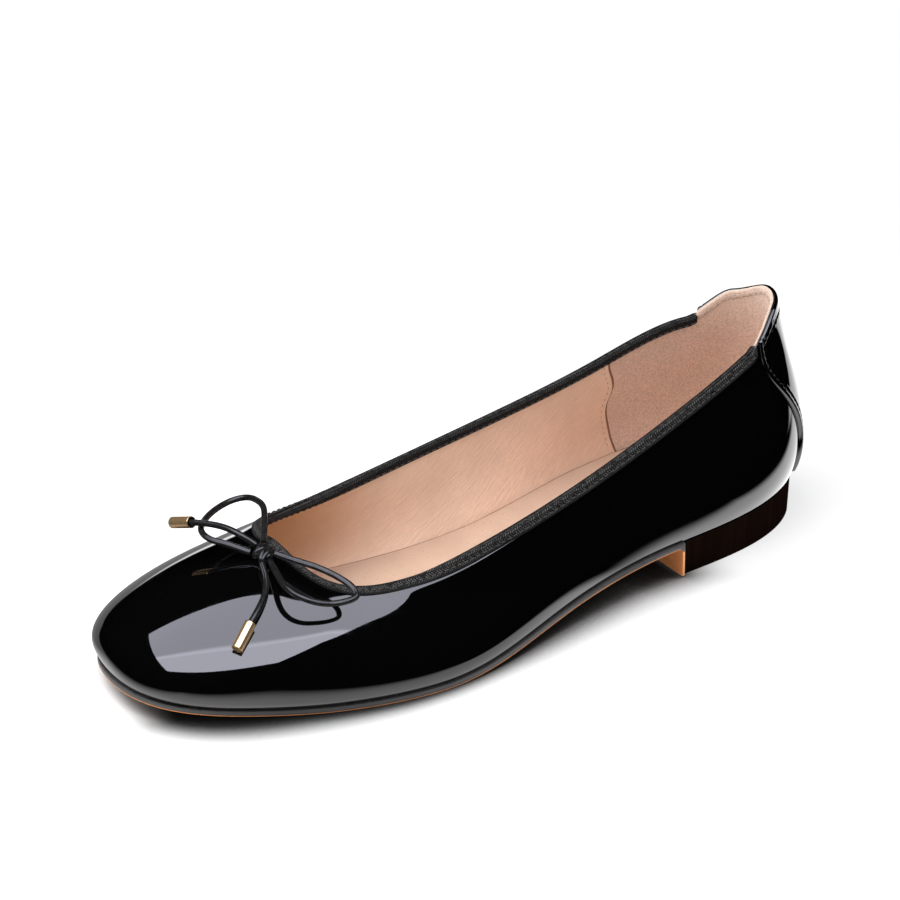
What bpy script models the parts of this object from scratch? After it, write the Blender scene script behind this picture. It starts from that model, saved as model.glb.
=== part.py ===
"""Left ballet flat in patent leather, with a bound topline, a low block heel and a cord bow.

Metres. +X runs to the toe, +Y to the wearer's left and +Z up. The shoe is drawn on its last, with
the back of the sole at x = 0, and its parent empty then brings the middle of the footprint to the
origin.
"""

import math
from collections import namedtuple

import bmesh
import bpy
import numpy as np
from mathutils import Vector

MM = 0.001

# Driving dimensions of the last
LENGTH = 245 * MM  # sole, from the back to the toe tip
BALL_WIDTH = 80 * MM  # feather line, at its widest
BACK_HEIGHT = 64 * MM  # topline at the back, above the floor and without the tab
FOOTPRINT_MIDDLE = (120.7 * MM, 3.6 * MM)  # of the shoe without its bow, on the last
CLEARANCE = 0.3 * MM  # between pieces that meet

# Underside of the sole
SEAT_HEIGHT = 11.6 * MM  # at the back of the heel
SEAT_DROP = 1.2 * MM  # of the seat, from the back to the breast
BREAST_X = 59 * MM  # front face of the heel
BALL_START_X = 160 * MM  # flat spot under the ball, back edge
BALL_END_X = 190 * MM  # flat spot under the ball, front edge
TOE_SPRING = 5.8 * MM

# Upper and what is sewn to it
WALL = 2.0 * MM
AROUND = 96  # sections round the last
UP = 9  # sections from the feather line to the topline
TAB_RISE = 8 * MM
TAB_MIDDLE = 0.105  # where the tab's shoulder rises, in half turns from the back
TAB_SPREAD = 0.035
COUNTER_REACH = 0.122  # half width of the counter at the topline, in half turns
COUNTER_WAIST = 0.072  # half width of its lower part
COUNTER_FLARE = (0.22, 0.92)  # where it widens, in shares of the way up
COUNTER_FOOT = 0.004  # its lower edge, as a share of the way up
COUNTER_THICKNESS = 1.0 * MM
COUNTER_ACROSS = 17  # sections across the counter
COUNTER_UP = 15
BINDING_START = 6  # section where the binding starts, counted from the back
BINDING_THICKNESS = 0.5 * MM
BINDING_DEPTH = 3.2 * MM  # how far its two leaves reach down the wall

# Bottom
SOLE_THICKNESS = 1.9 * MM
SOLE_EDGE = 0.8 * MM  # how far the sole stands out past the feather line
SOLE_BEVEL = 0.5 * MM  # at its lower edge
LIP_THICKNESS = 0.75 * MM  # of the sole's end, turned down the breast, at its lower edge
LIP_ROOT = 0.9 * MM  # its thickness where it leaves the sole
LIP_FILLET = 1.5 * MM  # where it bends
LIP_CLEAR = 0.5 * MM  # from the lip's end to the floor
INSOLE_INSET = 2.6 * MM
INSOLE_THICKNESS = 2.0 * MM
HEEL_TAPER = 0.6 * MM
SOLE_STATIONS = 34  # from the lip to the toe
INSOLE_STATIONS = 40
HEEL_STATIONS = 20

# Bow
CORD_RADIUS = 1.0 * MM
CORD_POINT_SPACING = 3.5 * MM
KNOT_MIDDLE = (198.4, 6.2, 41.7)  # in millimetres on the last, as the routes below
KNOT_RADII = (3.0, 3.7, 1.9)  # along the foot, across it and up
KNOT_PITCH = math.radians(12)  # the vamp's slope under the knot
WRAP_RADIUS = 0.95 * MM
WRAP_FIT = (0.9, 0.75)  # size of a turn, as shares of the knot's radii along the foot and up
WRAP_APART = 0.9 * MM  # from the knot's middle to the middle of a turn
WRAP_SLANT = 0.25  # sideways, for each unit along the foot
WRAP_SEGMENTS = (20, 8)  # round the knot, round the cord
AGLET_LENGTH = 9.5 * MM
AGLET_STEPS = 16
# Half section of a tip, as radius and distance from the cord's end in millimetres
AGLET_PROFILE = [(1.3, 0.0), (1.75, 0.25), (1.75, 1.3), (1.55, 1.6), (1.7, 2.0), (1.7, 8.9), (1.3, 9.5)]

# A cord's route from the knot, in millimetres on the last
BOW_ROUTES = {
    "bow_loop_left": [
        (196.7, 9.8, 42.7),
        (194.0, 15.1, 42.2),
        (189.3, 23.0, 41.2),
        (185.5, 29.0, 39.0),
        (184.2, 33.0, 37.5),
        (184.6, 35.4, 36.4),
        (188.6, 35.5, 35.6),
        (193.4, 33.8, 35.6),
        (197.5, 31.9, 36.7),
        (200.7, 28.4, 38.1),
        (201.8, 23.7, 39.1),
        (200.6, 17.3, 39.7),
        (198.8, 10.2, 40.7),
    ],
    "bow_loop_right": [
        (196.2, 2.6, 42.9),
        (193.3, -1.3, 44.6),
        (189.6, -6.8, 46.0),
        (187.1, -11.6, 46.2),
        (186.3, -16.3, 45.8),
        (187.0, -20.6, 45.0),
        (189.9, -23.1, 44.0),
        (195.0, -22.9, 43.5),
        (200.7, -20.6, 43.3),
        (205.6, -16.9, 43.3),
        (208.4, -12.5, 43.3),
        (208.2, -7.9, 43.0),
        (205.9, -3.7, 42.8),
        (203.4, 0.2, 42.2),
        (201.4, 3.3, 41.6),
    ],
    "bow_end_left": [
        (201.1, 9.1, 40.2),
        (202.3, 12.8, 38.3),
        (204.4, 16.3, 36.4),
        (207.6, 19.3, 34.7),
        (211.2, 21.7, 33.1),
        (214.7, 23.6, 31.4),
    ],
    "bow_end_right": [
        (199.5, 3.4, 43.7),
        (201.3, 1.0, 45.3),
        (203.4, -2.8, 46.7),
        (205.1, -7.9, 46.7),
        (207.2, -12.6, 46.1),
        (209.2, -16.8, 45.2),
    ],
}
AGLET_TIPS = {"aglet_left": (222.5, 27.3, 26.0), "aglet_right": (210.6, -25.4, 41.6)}

# A row for each section of the last, from the back seam to the toe tip. around is the share of the
# half turn. The foot columns are the feather line and the top columns the topline: x in percent of
# LENGTH, left and right in percent of BALL_WIDTH from the middle, rise in percent of BACK_HEIGHT.
# The last four shape the wall between them, in millimetres: how it swells above the feather line,
# and how it leans below the topline.
Section = namedtuple(
    "Section",
    "around foot_x foot_left foot_right top_x top_left top_right rise_left rise_right"
    " swell_out swell_up lean_out lean_down",
)
SECTIONS = [
    Section(0.00, 0.0, 0.0, 0.0, 1.8, 0.0, 0.0, 99.7, 99.7, 8.6, 16.0, 3.0, 18.0),
    Section(0.06, 1.7, 18.8, 17.2, 3.3, 11.9, 11.2, 99.2, 93.6, 8.2, 15.5, 2.3, 18.0),
    Section(0.13, 8.1, 33.1, 28.5, 8.6, 20.6, 20.2, 95.3, 93.4, 5.7, 14.0, 2.0, 16.0),
    Section(0.26, 23.7, 40.0, 30.6, 22.4, 30.4, 27.2, 83.6, 80.5, 4.0, 12.0, 2.0, 14.0),
    Section(0.42, 42.9, 45.6, 25.6, 40.8, 38.1, 31.2, 67.2, 65.6, 4.0, 10.4, 1.1, 13.2),
    Section(0.56, 59.2, 56.2, 36.2, 55.5, 38.8, 34.0, 53.9, 55.9, 5.6, 8.9, 0.5, 12.8),
    Section(0.70, 73.5, 52.5, 43.8, 66.9, 35.6, 32.5, 48.9, 52.3, 9.5, 7.7, 10.9, 10.9),
    Section(0.84, 88.2, 34.4, 42.5, 74.8, 28.8, 23.8, 52.8, 55.9, 12.6, 7.7, 18.4, 9.1),
    Section(0.93, 97.3, 17.5, 30.6, 77.3, 16.2, 10.0, 58.6, 60.5, 12.2, 10.1, 28.0, 7.7),
    Section(1.00, 100.0, -3.8, 3.8, 78.0, 2.9, -2.9, 64.1, 64.1, 6.4, 14.4, 33.8, 5.0),
]


def periodic_spline(knots, values):
    """A closed curve through the values: cubic pieces that share slope and bend at each knot."""
    count = len(knots)
    here = np.arange(count)
    after = (here + 1) % count
    span = np.append(knots[1:], knots[0] + 1) - knots
    before = np.roll(span, 1)
    slope = (values[after] - values) / span[:, None]
    matrix = np.zeros((count, count))
    matrix[here, here] = 2 * (before + span)
    matrix[here, after] = span
    matrix[here, here - 1] = before
    bend = np.linalg.solve(matrix, 6 * (slope - np.roll(slope, 1, axis=0)))

    def at(s):
        s = np.asarray(s, float) % 1
        k = np.searchsorted(knots, s, side="right") - 1
        past = (s - knots[k])[:, None]
        left = span[k][:, None] - past
        width = span[k][:, None]
        curved = (bend[k] * left**3 + bend[after[k]] * past**3) / (6 * width)
        low = (values[k] / width - bend[k] * width / 6) * left
        high = (values[after[k]] / width - bend[after[k]] * width / 6) * past
        return curved + low + high

    return at


def last_curves():
    """Feather line, topline and wall handles as one spline round the last."""
    knots = []
    values = []
    for side in (1, -1):
        rows = SECTIONS if side == 1 else SECTIONS[-2:0:-1]
        for row in rows:
            foot_y = row.foot_left if side == 1 else -row.foot_right
            top_y = row.top_left if side == 1 else -row.top_right
            rise = row.rise_left if side == 1 else row.rise_right
            knots.append(row.around / 2 if side == 1 else 1 - row.around / 2)
            values.append(
                [
                    row.foot_x / 100 * LENGTH,
                    foot_y / 100 * BALL_WIDTH,
                    row.top_x / 100 * LENGTH,
                    top_y / 100 * BALL_WIDTH,
                    rise / 100 * BACK_HEIGHT,
                    row.swell_out * MM,
                    row.swell_up * MM,
                    row.lean_out * MM,
                    row.lean_down * MM,
                ]
            )
    return periodic_spline(np.array(knots), np.array(values))


LAST = last_curves()


def ease(share):
    """Smooth step from 0 to 1."""
    share = np.clip(share, 0, 1)
    return share * share * (3 - 2 * share)


def underside(x):
    """Height of the sole's underside: sloping seat, S-shaped waist, flat ball, toe spring."""
    x = np.asarray(x, float)
    seat = SEAT_HEIGHT - SEAT_DROP * x / BREAST_X
    front = SEAT_HEIGHT - SEAT_DROP
    waist = front * ease((BALL_START_X - x) / (BALL_START_X - BREAST_X))
    spring = TOE_SPRING * np.clip((x - BALL_END_X) / (LENGTH - BALL_END_X), 0, None) ** 2
    return np.where(x < BREAST_X, seat, waist) + spring


def foot_outline(s, outset=0.0):
    """Plan points of the feather line moved outwards, and the outward direction there."""
    small = 1e-4
    step = LAST(s + small)[:, :2] - LAST(s - small)[:, :2]
    out = np.stack([-step[:, 1], step[:, 0]], axis=1)
    out /= np.linalg.norm(out, axis=1)[:, None]
    return LAST(s)[:, :2] + out * outset, out


def skin(s, t):
    """Outer face of the upper at s round the last and t up the wall, one cubic arc a section."""
    row = LAST(s)
    half = 2 * np.minimum(s % 1, 1 - s % 1)
    plan, out = foot_outline(s)
    foot = np.column_stack([plan, underside(plan[:, 0]) + SOLE_THICKNESS + CLEARANCE])
    tab = TAB_RISE * ease((TAB_MIDDLE + TAB_SPREAD - half) / (2 * TAB_SPREAD))
    top = np.column_stack([row[:, 2:4], row[:, 4] + tab])
    outward = np.column_stack([out, np.zeros(len(s))])
    upward = np.array([0.0, 0.0, 1.0])
    low = foot + outward * row[:, 5:6] + upward * row[:, 6:7]
    high = top + outward * row[:, 7:8] - upward * row[:, 8:9]
    t = np.asarray(t, float)[:, None]
    weights = [(1 - t) ** 3, 3 * t * (1 - t) ** 2, 3 * t**2 * (1 - t), t**3]
    return sum(w * p for w, p in zip(weights, (foot, low, high, top)))


def skin_normal(s, t):
    """Outward unit normal of the upper's outer face."""
    small = 1e-4
    t = np.asarray(t, float)
    round_last = skin(s + small, t) - skin(s - small, t)
    up_wall = skin(s, t + small) - skin(s, t - small)
    normal = np.cross(up_wall, round_last)
    return normal / np.linalg.norm(normal, axis=1)[:, None]


def material(name, colour, roughness, metallic=0.0):
    """A plain finish of one colour."""
    made = bpy.data.materials.new(name)
    made.use_nodes = True
    shader = made.node_tree.nodes["Principled BSDF"]
    shader.inputs["Base Color"].default_value = (*colour, 1)
    shader.inputs["Roughness"].default_value = roughness
    shader.inputs["Metallic"].default_value = metallic
    made.diffuse_color = (*colour, 1)
    return made


def finish(obj, shoe, finish_material, smooth_angle=40):
    """Puts a piece in the scene on the shoe's empty, with its finish."""
    bpy.context.scene.collection.objects.link(obj)
    obj.parent = shoe
    obj.data.materials.append(finish_material)
    if obj.type == "MESH":
        obj.data.shade_smooth()
        obj.data.set_sharp_from_angle(angle=math.radians(smooth_angle))
    return obj


def mesh_piece(name, points, faces, shoe, finish_material):
    """A piece from points and faces, its faces turned outwards when it is closed."""
    mesh = bpy.data.meshes.new(name)
    mesh.from_pydata([tuple(p) for p in points], [], faces)
    work = bmesh.new()
    work.from_mesh(mesh)
    bmesh.ops.remove_doubles(work, verts=work.verts, dist=1e-6)
    bmesh.ops.dissolve_degenerate(work, edges=work.edges, dist=1e-6)
    bmesh.ops.recalc_face_normals(work, faces=work.faces)
    work.to_mesh(mesh)
    work.free()
    return finish(bpy.data.objects.new(name, mesh), shoe, finish_material)


def carried_piece(name, sections, closed, shoe, finish_material):
    """A solid from a closed section carried along rows: sections is rows by points by 3.

    The rows join up when closed. Otherwise each end is capped by strips from the section's first
    half to its second half.
    """
    rows, columns = sections.shape[:2]
    faces = [
        (
            i * columns + j,
            i * columns + (j + 1) % columns,
            (i + 1) % rows * columns + (j + 1) % columns,
            (i + 1) % rows * columns + j,
        )
        for i in range(rows if closed else rows - 1)
        for j in range(columns)
    ]
    for start in () if closed else (0, (rows - 1) * columns):
        far = start + columns - 1
        faces += [(start + j, start + j + 1, far - j - 1, far - j) for j in range(columns // 2 - 1)]
    return mesh_piece(name, sections.reshape(-1, 3), faces, shoe, finish_material)


def skin_shell(name, s, t, outer, inner, closed, shoe, finish_material):
    """A shell cut from the upper's own face between two lifts: s and t are grids, rows round."""
    points = skin(s.ravel(), t.ravel()).reshape(*s.shape, 3)
    normals = skin_normal(s.ravel(), t.ravel()).reshape(*s.shape, 3)
    sections = np.concatenate([points + normals * outer, (points + normals * inner)[:, ::-1]], axis=1)
    return carried_piece(name, sections, closed, shoe, finish_material)


def add_upper(shoe):
    """Vamp and quarters: one wall from the feather line to the topline, open at both."""
    s, t = np.meshgrid(np.arange(AROUND) / AROUND, np.linspace(0, 1, UP), indexing="ij")
    patent = material("patent_leather", (0.01, 0.01, 0.012), 0.08)
    skin_shell("upper", s, t, 0.0, -WALL, True, shoe, patent)


def add_counter(shoe):
    """Overlay on the back: a strip from the feather line that flares to the tab's corners."""
    v, t = np.meshgrid(
        np.linspace(-1, 1, COUNTER_ACROSS), np.linspace(COUNTER_FOOT, 1, COUNTER_UP), indexing="ij"
    )
    start, end = COUNTER_FLARE
    reach = COUNTER_WAIST + (COUNTER_REACH - COUNTER_WAIST) * ease((t - start) / (end - start))
    s = v * reach / 2
    patent = material("counter_leather", (0.012, 0.012, 0.014), 0.1)
    outer = CLEARANCE + COUNTER_THICKNESS
    skin_shell("counter", s, t, outer, CLEARANCE, False, shoe, patent)


def share_below_top(s, depth):
    """The t at which the wall lies that far below the topline, measured along the wall."""
    t = np.linspace(1, 0.6, 81)
    rows = skin(np.repeat(s, len(t)), np.tile(t, len(s))).reshape(len(s), len(t), 3)
    steps = np.linalg.norm(np.diff(rows, axis=1), axis=2)
    down = np.column_stack([np.zeros(len(s)), np.cumsum(steps, axis=1)])
    return np.array([np.interp(depth, row, t) for row in down])


def binding_section(s):
    """Points round the ribbon's folded section at each s: outer leaf, fold, inner leaf and back."""
    leaves = []
    for depth in (BINDING_DEPTH, BINDING_DEPTH / 2, 0.0):
        t = share_below_top(s, depth)
        leaves.append((skin(s, t), skin_normal(s, t)))
    edge, side = leaves[-1]
    rise = edge - leaves[1][0]
    rise /= np.linalg.norm(rise, axis=1)[:, None]
    faces = []
    for grow in (CLEARANCE + BINDING_THICKNESS, CLEARANCE):
        outer = [point + normal * grow for point, normal in leaves]
        inner = [point - normal * (WALL + grow) for point, normal in leaves[::-1]]
        crown = edge - side * (WALL / 2) + rise * grow
        outer[-1] = outer[-1] + rise * (grow / 2)
        inner[0] = inner[0] + rise * (grow / 2)
        faces.append(outer + [crown] + inner)
    return np.stack(faces[0] + faces[1][::-1], axis=1)


def add_topline_binding(shoe):
    """Ribbon folded over the wall's top edge, from one shoulder of the tab to the other."""
    s = np.arange(BINDING_START, AROUND - BINDING_START + 1) / AROUND
    ribbon = material("ribbon", (0.015, 0.015, 0.016), 0.7)
    carried_piece("topline_binding", binding_section(s), False, shoe, ribbon)


def station_of(x):
    """The s on the left side of the feather line at each x, between its back and the toe."""
    s = np.linspace(0, 0.5, 2001)
    return np.interp(x, LAST(s)[:, 0], s)


def plate(name, s, rings, shoe, finish_material):
    """A plate on the last's plan: rings of (outset, height function), from its top to its floor.

    Each station s gives a point on the left and its partner on the right, and rows of faces run
    across between them.
    """
    left = []
    right = []
    for outset, height in rings:
        for turn, side in ((s, left), (1 - s, right)):
            plan, _ = foot_outline(turn, outset)
            side.append(np.column_stack([plan, height(plan[:, 0])]))
    sections = np.stack(left + right[::-1], axis=1)
    return carried_piece(name, sections, False, shoe, finish_material)


def add_outsole(shoe):
    """Thin sole from the toe to the breast, its back end turned down the front of the heel."""
    back_x = BREAST_X + CLEARANCE
    root_x = back_x + LIP_ROOT
    fillet = root_x + LIP_FILLET * (1 - np.cos(np.radians([0, 30, 60, 90])))
    lip = np.append([back_x, back_x + LIP_THICKNESS], fillet)
    toe = np.linspace(station_of(lip[-1]), 0.5, SOLE_STATIONS)[1:]
    s = np.append(station_of(lip), toe)

    def top(x):
        return underside(x) + SOLE_THICKNESS

    def bottom(x):
        left = np.clip(1 - (x - root_x) / LIP_FILLET, 0, 1)
        bent = underside(x) - LIP_FILLET * (1 - np.sqrt(1 - left**2))
        return np.where(x < (back_x + LIP_THICKNESS + root_x) / 2, LIP_CLEAR, bent)

    def above_bevel(x):
        return bottom(x) + SOLE_BEVEL

    leather = material("sole_leather", (0.03, 0.02, 0.015), 0.5)
    rings = [(SOLE_EDGE, top), (SOLE_EDGE, above_bevel), (SOLE_EDGE - SOLE_BEVEL, bottom)]
    plate("outsole", s, rings, shoe, leather)


def add_insole(shoe):
    """Sock and board on top of the sole, inside the wall."""

    def bottom(x):
        return underside(x) + SOLE_THICKNESS + CLEARANCE

    def top(x):
        return bottom(x) + INSOLE_THICKNESS

    s = np.linspace(0, 0.5, INSOLE_STATIONS)
    leather = material("sock_leather", (0.62, 0.44, 0.34), 0.6)
    plate("insole", s, [(-INSOLE_INSET, top), (-INSOLE_INSET, bottom)], shoe, leather)


def add_heel_block(shoe):
    """Low D-shaped block under the seat, flat on the floor and flat at its breast."""
    s = np.linspace(0, station_of(BREAST_X), HEEL_STATIONS)

    def top(x):
        return SEAT_HEIGHT - SEAT_DROP * x / BREAST_X + SOLE_THICKNESS

    def floor(x):
        return np.zeros_like(x)

    stacked = material("heel_stack", (0.02, 0.013, 0.01), 0.35)
    plate("heel_block", s, [(0.0, top), (-HEEL_TAPER, floor)], shoe, stacked)


def smooth_route(points):
    """Points at an even spacing on a smooth curve through a route, with natural ends."""
    route = np.array(points) * MM
    knots = np.append(0, np.cumsum(np.linalg.norm(np.diff(route, axis=0), axis=1)))
    span = np.diff(knots)
    slope = np.diff(route, axis=0) / span[:, None]
    count = len(route)
    matrix = np.eye(count)
    pull = np.zeros_like(route)
    for i in range(1, count - 1):
        matrix[i, i - 1 : i + 2] = span[i - 1], 2 * (span[i - 1] + span[i]), span[i]
        pull[i] = 6 * (slope[i] - slope[i - 1])
    bend = np.linalg.solve(matrix, pull)
    at = np.linspace(0, knots[-1], math.ceil(knots[-1] / CORD_POINT_SPACING) + 1)
    k = np.clip(np.searchsorted(knots, at, side="right") - 1, 0, count - 2)
    past = (at - knots[k])[:, None]
    width = span[k][:, None]
    left = width - past
    curved = (bend[k] * left**3 + bend[k + 1] * past**3) / (6 * width)
    low = (route[k] / width - bend[k] * width / 6) * left
    high = (route[k + 1] / width - bend[k + 1] * width / 6) * past
    return curved + low + high


def add_bow_cord(name, shoe, cord_material):
    """A loop or an end of the bow: a round cord along its route, with flat ends."""
    curve = bpy.data.curves.new(name, "CURVE")
    curve.dimensions = "3D"
    curve.bevel_depth = CORD_RADIUS
    curve.bevel_resolution = 2
    curve.use_fill_caps = True
    points = smooth_route(BOW_ROUTES[name])
    line = curve.splines.new("POLY")
    line.points.add(len(points) - 1)
    for point, place in zip(line.points, points):
        point.co = (*place, 1)
    finish(bpy.data.objects.new(name, curve), shoe, cord_material)


def add_bow_knot(shoe, cord_material):
    """Two turns of cord crossed over the gathered core."""
    work = bmesh.new()
    bmesh.ops.create_uvsphere(work, u_segments=16, v_segments=10, radius=1)
    bmesh.ops.scale(work, vec=Vector(KNOT_RADII) * MM, verts=work.verts)
    core = bpy.data.meshes.new("bow_knot")
    work.to_mesh(core)
    work.free()
    knot = finish(bpy.data.objects.new("bow_knot", core), shoe, cord_material)
    knot.location = Vector(KNOT_MIDDLE) * MM
    knot.rotation_euler = (0, KNOT_PITCH, 0)
    for side in (1, -1):
        turn = bow_wrap(side, shoe, cord_material)
        joined = knot.modifiers.new(turn.name, "BOOLEAN")
        joined.operation = "UNION"
        joined.object = turn


def bow_wrap(side, shoe, cord_material):
    """One turn round the knot's core, slanting to one side: a ring used only for the union."""
    turns, sides = WRAP_SEGMENTS
    u = np.arange(turns) * math.tau / turns
    v = np.arange(sides) * math.tau / sides
    u, v = np.meshgrid(u, v, indexing="ij")
    rim = 1 + np.cos(v) * WRAP_RADIUS / (KNOT_RADII[0] * MM)
    x = KNOT_RADII[0] * MM * WRAP_FIT[0] * np.cos(u) * rim
    z = KNOT_RADII[2] * MM * WRAP_FIT[1] * np.sin(u) * rim
    y = np.sin(v) * WRAP_RADIUS + side * (WRAP_APART + WRAP_SLANT * x)
    points = np.stack([x, y, z], axis=2).reshape(-1, 3)
    faces = [
        (
            i * sides + j,
            i * sides + (j + 1) % sides,
            (i + 1) % turns * sides + (j + 1) % sides,
            (i + 1) % turns * sides + j,
        )
        for i in range(turns)
        for j in range(sides)
    ]
    ring = mesh_piece(f"wrap_{'left' if side == 1 else 'right'}", points, faces, shoe, cord_material)
    ring.location = Vector(KNOT_MIDDLE) * MM
    ring.rotation_euler = (0, KNOT_PITCH, 0)
    ring.hide_render = True
    ring.display_type = "WIRE"
    return ring


def add_aglet(name, cord, shoe, metal):
    """Turned metal tip on a cord's end: a rolled collar, a plain barrel and an eased tip."""
    end = Vector(smooth_route(BOW_ROUTES[cord])[-1])
    along = (Vector(AGLET_TIPS[name]) * MM - end).normalized()
    work = bmesh.new()
    line = [work.verts.new((0, 0, 0))]
    line += [work.verts.new((r * MM, 0, z * MM)) for r, z in AGLET_PROFILE]
    line.append(work.verts.new((0, 0, AGLET_LENGTH)))
    edges = [work.edges.new(pair) for pair in zip(line, line[1:])]
    bmesh.ops.spin(
        work, geom=line + edges, cent=(0, 0, 0), axis=(0, 0, 1), angle=math.tau, steps=AGLET_STEPS
    )
    bmesh.ops.remove_doubles(work, verts=work.verts, dist=1e-6)
    bmesh.ops.recalc_face_normals(work, faces=work.faces)
    mesh = bpy.data.meshes.new(name)
    work.to_mesh(mesh)
    work.free()
    aglet = finish(bpy.data.objects.new(name, mesh), shoe, metal)
    aglet.rotation_mode = "QUATERNION"
    aglet.rotation_quaternion = along.to_track_quat("Z", "Y")
    aglet.location = end + along * CLEARANCE


def add_bow(shoe):
    """Knot, two loops, two ends and their metal tips."""
    cord = material("bow_cord", (0.02, 0.02, 0.022), 0.45)
    gold = material("pale_gold", (0.83, 0.62, 0.38), 0.2, 1.0)
    add_bow_knot(shoe, cord)
    for name in BOW_ROUTES:
        add_bow_cord(name, shoe, cord)
    for side in ("left", "right"):
        add_aglet(f"aglet_{side}", f"bow_end_{side}", shoe, gold)


def main():
    for obj in list(bpy.data.objects):
        bpy.data.objects.remove(obj)
    shoe = bpy.data.objects.new("shoe", None)
    shoe.location = Vector((-FOOTPRINT_MIDDLE[0], -FOOTPRINT_MIDDLE[1], 0))
    bpy.context.scene.collection.objects.link(shoe)
    add_upper(shoe)
    add_counter(shoe)
    add_topline_binding(shoe)
    add_insole(shoe)
    add_outsole(shoe)
    add_heel_block(shoe)
    add_bow(shoe)


if __name__ == "__main__":
    main()
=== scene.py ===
"""Looks of a left ballet flat in patent leather, laid out as an add-on and run as a script.

Metres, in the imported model's frame: +X to the toe, +Y to the wearer's left, +Z up. Shapes are worked
out on the last, whose back is at x = 0, and moved to the frame when their mesh is made.
"""

import math
from collections import namedtuple

import bmesh
import bpy
import numpy as np
from bpy.props import FloatProperty, FloatVectorProperty, PointerProperty
from bpy.types import Operator, Panel, PropertyGroup
from mathutils import Matrix, Vector


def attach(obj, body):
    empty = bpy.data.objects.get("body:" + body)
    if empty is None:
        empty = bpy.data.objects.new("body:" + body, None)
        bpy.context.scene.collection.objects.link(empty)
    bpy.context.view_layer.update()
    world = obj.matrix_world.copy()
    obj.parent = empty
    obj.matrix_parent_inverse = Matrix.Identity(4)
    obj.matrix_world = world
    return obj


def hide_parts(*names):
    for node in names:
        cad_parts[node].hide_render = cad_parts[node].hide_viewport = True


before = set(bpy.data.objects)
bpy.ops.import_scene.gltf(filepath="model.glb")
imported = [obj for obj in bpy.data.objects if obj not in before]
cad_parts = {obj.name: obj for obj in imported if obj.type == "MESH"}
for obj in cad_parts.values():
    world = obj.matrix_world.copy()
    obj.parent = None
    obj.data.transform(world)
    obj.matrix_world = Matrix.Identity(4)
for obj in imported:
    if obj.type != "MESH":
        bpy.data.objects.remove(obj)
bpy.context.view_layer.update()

bl_info = {
    "name": "Ballet flat",
    "version": (1, 0, 0),
    "blender": (4, 5, 0),
    "location": "3D View > Sidebar > Ballet flat",
    "description": "Patent ballet flat with a bound topline and a cord bow, on its packed frame",
    "category": "Add Mesh",
}

MM = 0.001
BODY = "root"

# The last, as the part's solids have it
LENGTH = 245 * MM
BALL_WIDTH = 80 * MM
BACK_HEIGHT = 64 * MM
FOOTPRINT_MIDDLE = np.array([120.7 * MM, 3.6 * MM, 0.0])
CLEARANCE = 0.3 * MM
SEAT_HEIGHT = 11.6 * MM
SEAT_DROP = 1.2 * MM
BREAST_X = 59 * MM
BALL_START_X = 160 * MM
BALL_END_X = 190 * MM
TOE_SPRING = 5.8 * MM
WALL = 2.0 * MM
TAB_RISE = 8 * MM
TAB_MIDDLE = 0.105
TAB_SPREAD = 0.035
GIRTH = 590 * MM  # once round the wall, to turn shares of a turn into lengths
WALL_HEIGHT = 55 * MM  # along the wall, to turn shares of the way up into lengths
STEP = 1e-4  # for slopes by differences, in turns and in shares of the way up
WELD = 1e-6  # points that lie closer are merged
FILM = 0.02 * MM  # between layers that lie on each other

# Overlays and bottom
COUNTER_REACH = 0.122
COUNTER_WAIST = 0.072
COUNTER_FLARE = (0.22, 0.92)
COUNTER_FOOT = 0.004
COUNTER_LIFT = 1.3 * MM
BINDING_END = 0.0625
SOLE_THICKNESS = 1.9 * MM
SOLE_EDGE = 0.8 * MM
SOLE_BEVEL = 0.5 * MM
LIP_THICKNESS = 0.75 * MM
LIP_ROOT = 0.9 * MM
LIP_FILLET = 1.5 * MM
LIP_CLEAR = 0.5 * MM
SOCK_THICKNESS = 2.0 * MM
SOCK_INSET = 2.6 * MM
HEEL_TAPER = 0.6 * MM

# Bow, in millimetres on the last
KNOT_MIDDLE = (198.4, 6.2, 41.7)
KNOT_RADII = (3.0, 3.7, 1.9)
KNOT_PITCH = math.radians(12)
AGLET_LENGTH = 9.5
AGLET_RADIUS = 1.85
BOW_ROUTES = {
    "bow_loop_left": [
        (196.7, 9.8, 42.7), (194.0, 15.1, 42.2), (189.3, 23.0, 41.2), (185.5, 29.0, 39.0),
        (184.2, 33.0, 37.5), (184.6, 35.4, 36.4), (188.6, 35.5, 35.6), (193.4, 33.8, 35.6),
        (197.5, 31.9, 36.7), (200.7, 28.4, 38.1), (201.8, 23.7, 39.1), (200.6, 17.3, 39.7),
        (198.8, 10.2, 40.7),
    ],
    "bow_loop_right": [
        (196.2, 2.6, 42.9), (193.3, -1.3, 44.6), (189.6, -6.8, 46.0), (187.1, -11.6, 46.2),
        (186.3, -16.3, 45.8), (187.0, -20.6, 45.0), (189.9, -23.1, 44.0), (195.0, -22.9, 43.5),
        (200.7, -20.6, 43.3), (205.6, -16.9, 43.3), (208.4, -12.5, 43.3), (208.2, -7.9, 43.0),
        (205.9, -3.7, 42.8), (203.4, 0.2, 42.2), (201.4, 3.3, 41.6),
    ],
    "bow_end_left": [
        (201.1, 9.1, 40.2), (202.3, 12.8, 38.3), (204.4, 16.3, 36.4), (207.6, 19.3, 34.7),
        (211.2, 21.7, 33.1), (214.7, 23.6, 31.4),
    ],
    "bow_end_right": [
        (199.5, 3.4, 43.7), (201.3, 1.0, 45.3), (203.4, -2.8, 46.7), (205.1, -7.9, 46.7),
        (207.2, -12.6, 46.1), (209.2, -16.8, 45.2),
    ],
}
AGLET_TIPS = {"left": (222.5, 27.3, 26.0), "right": (210.6, -25.4, 41.6)}

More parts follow.
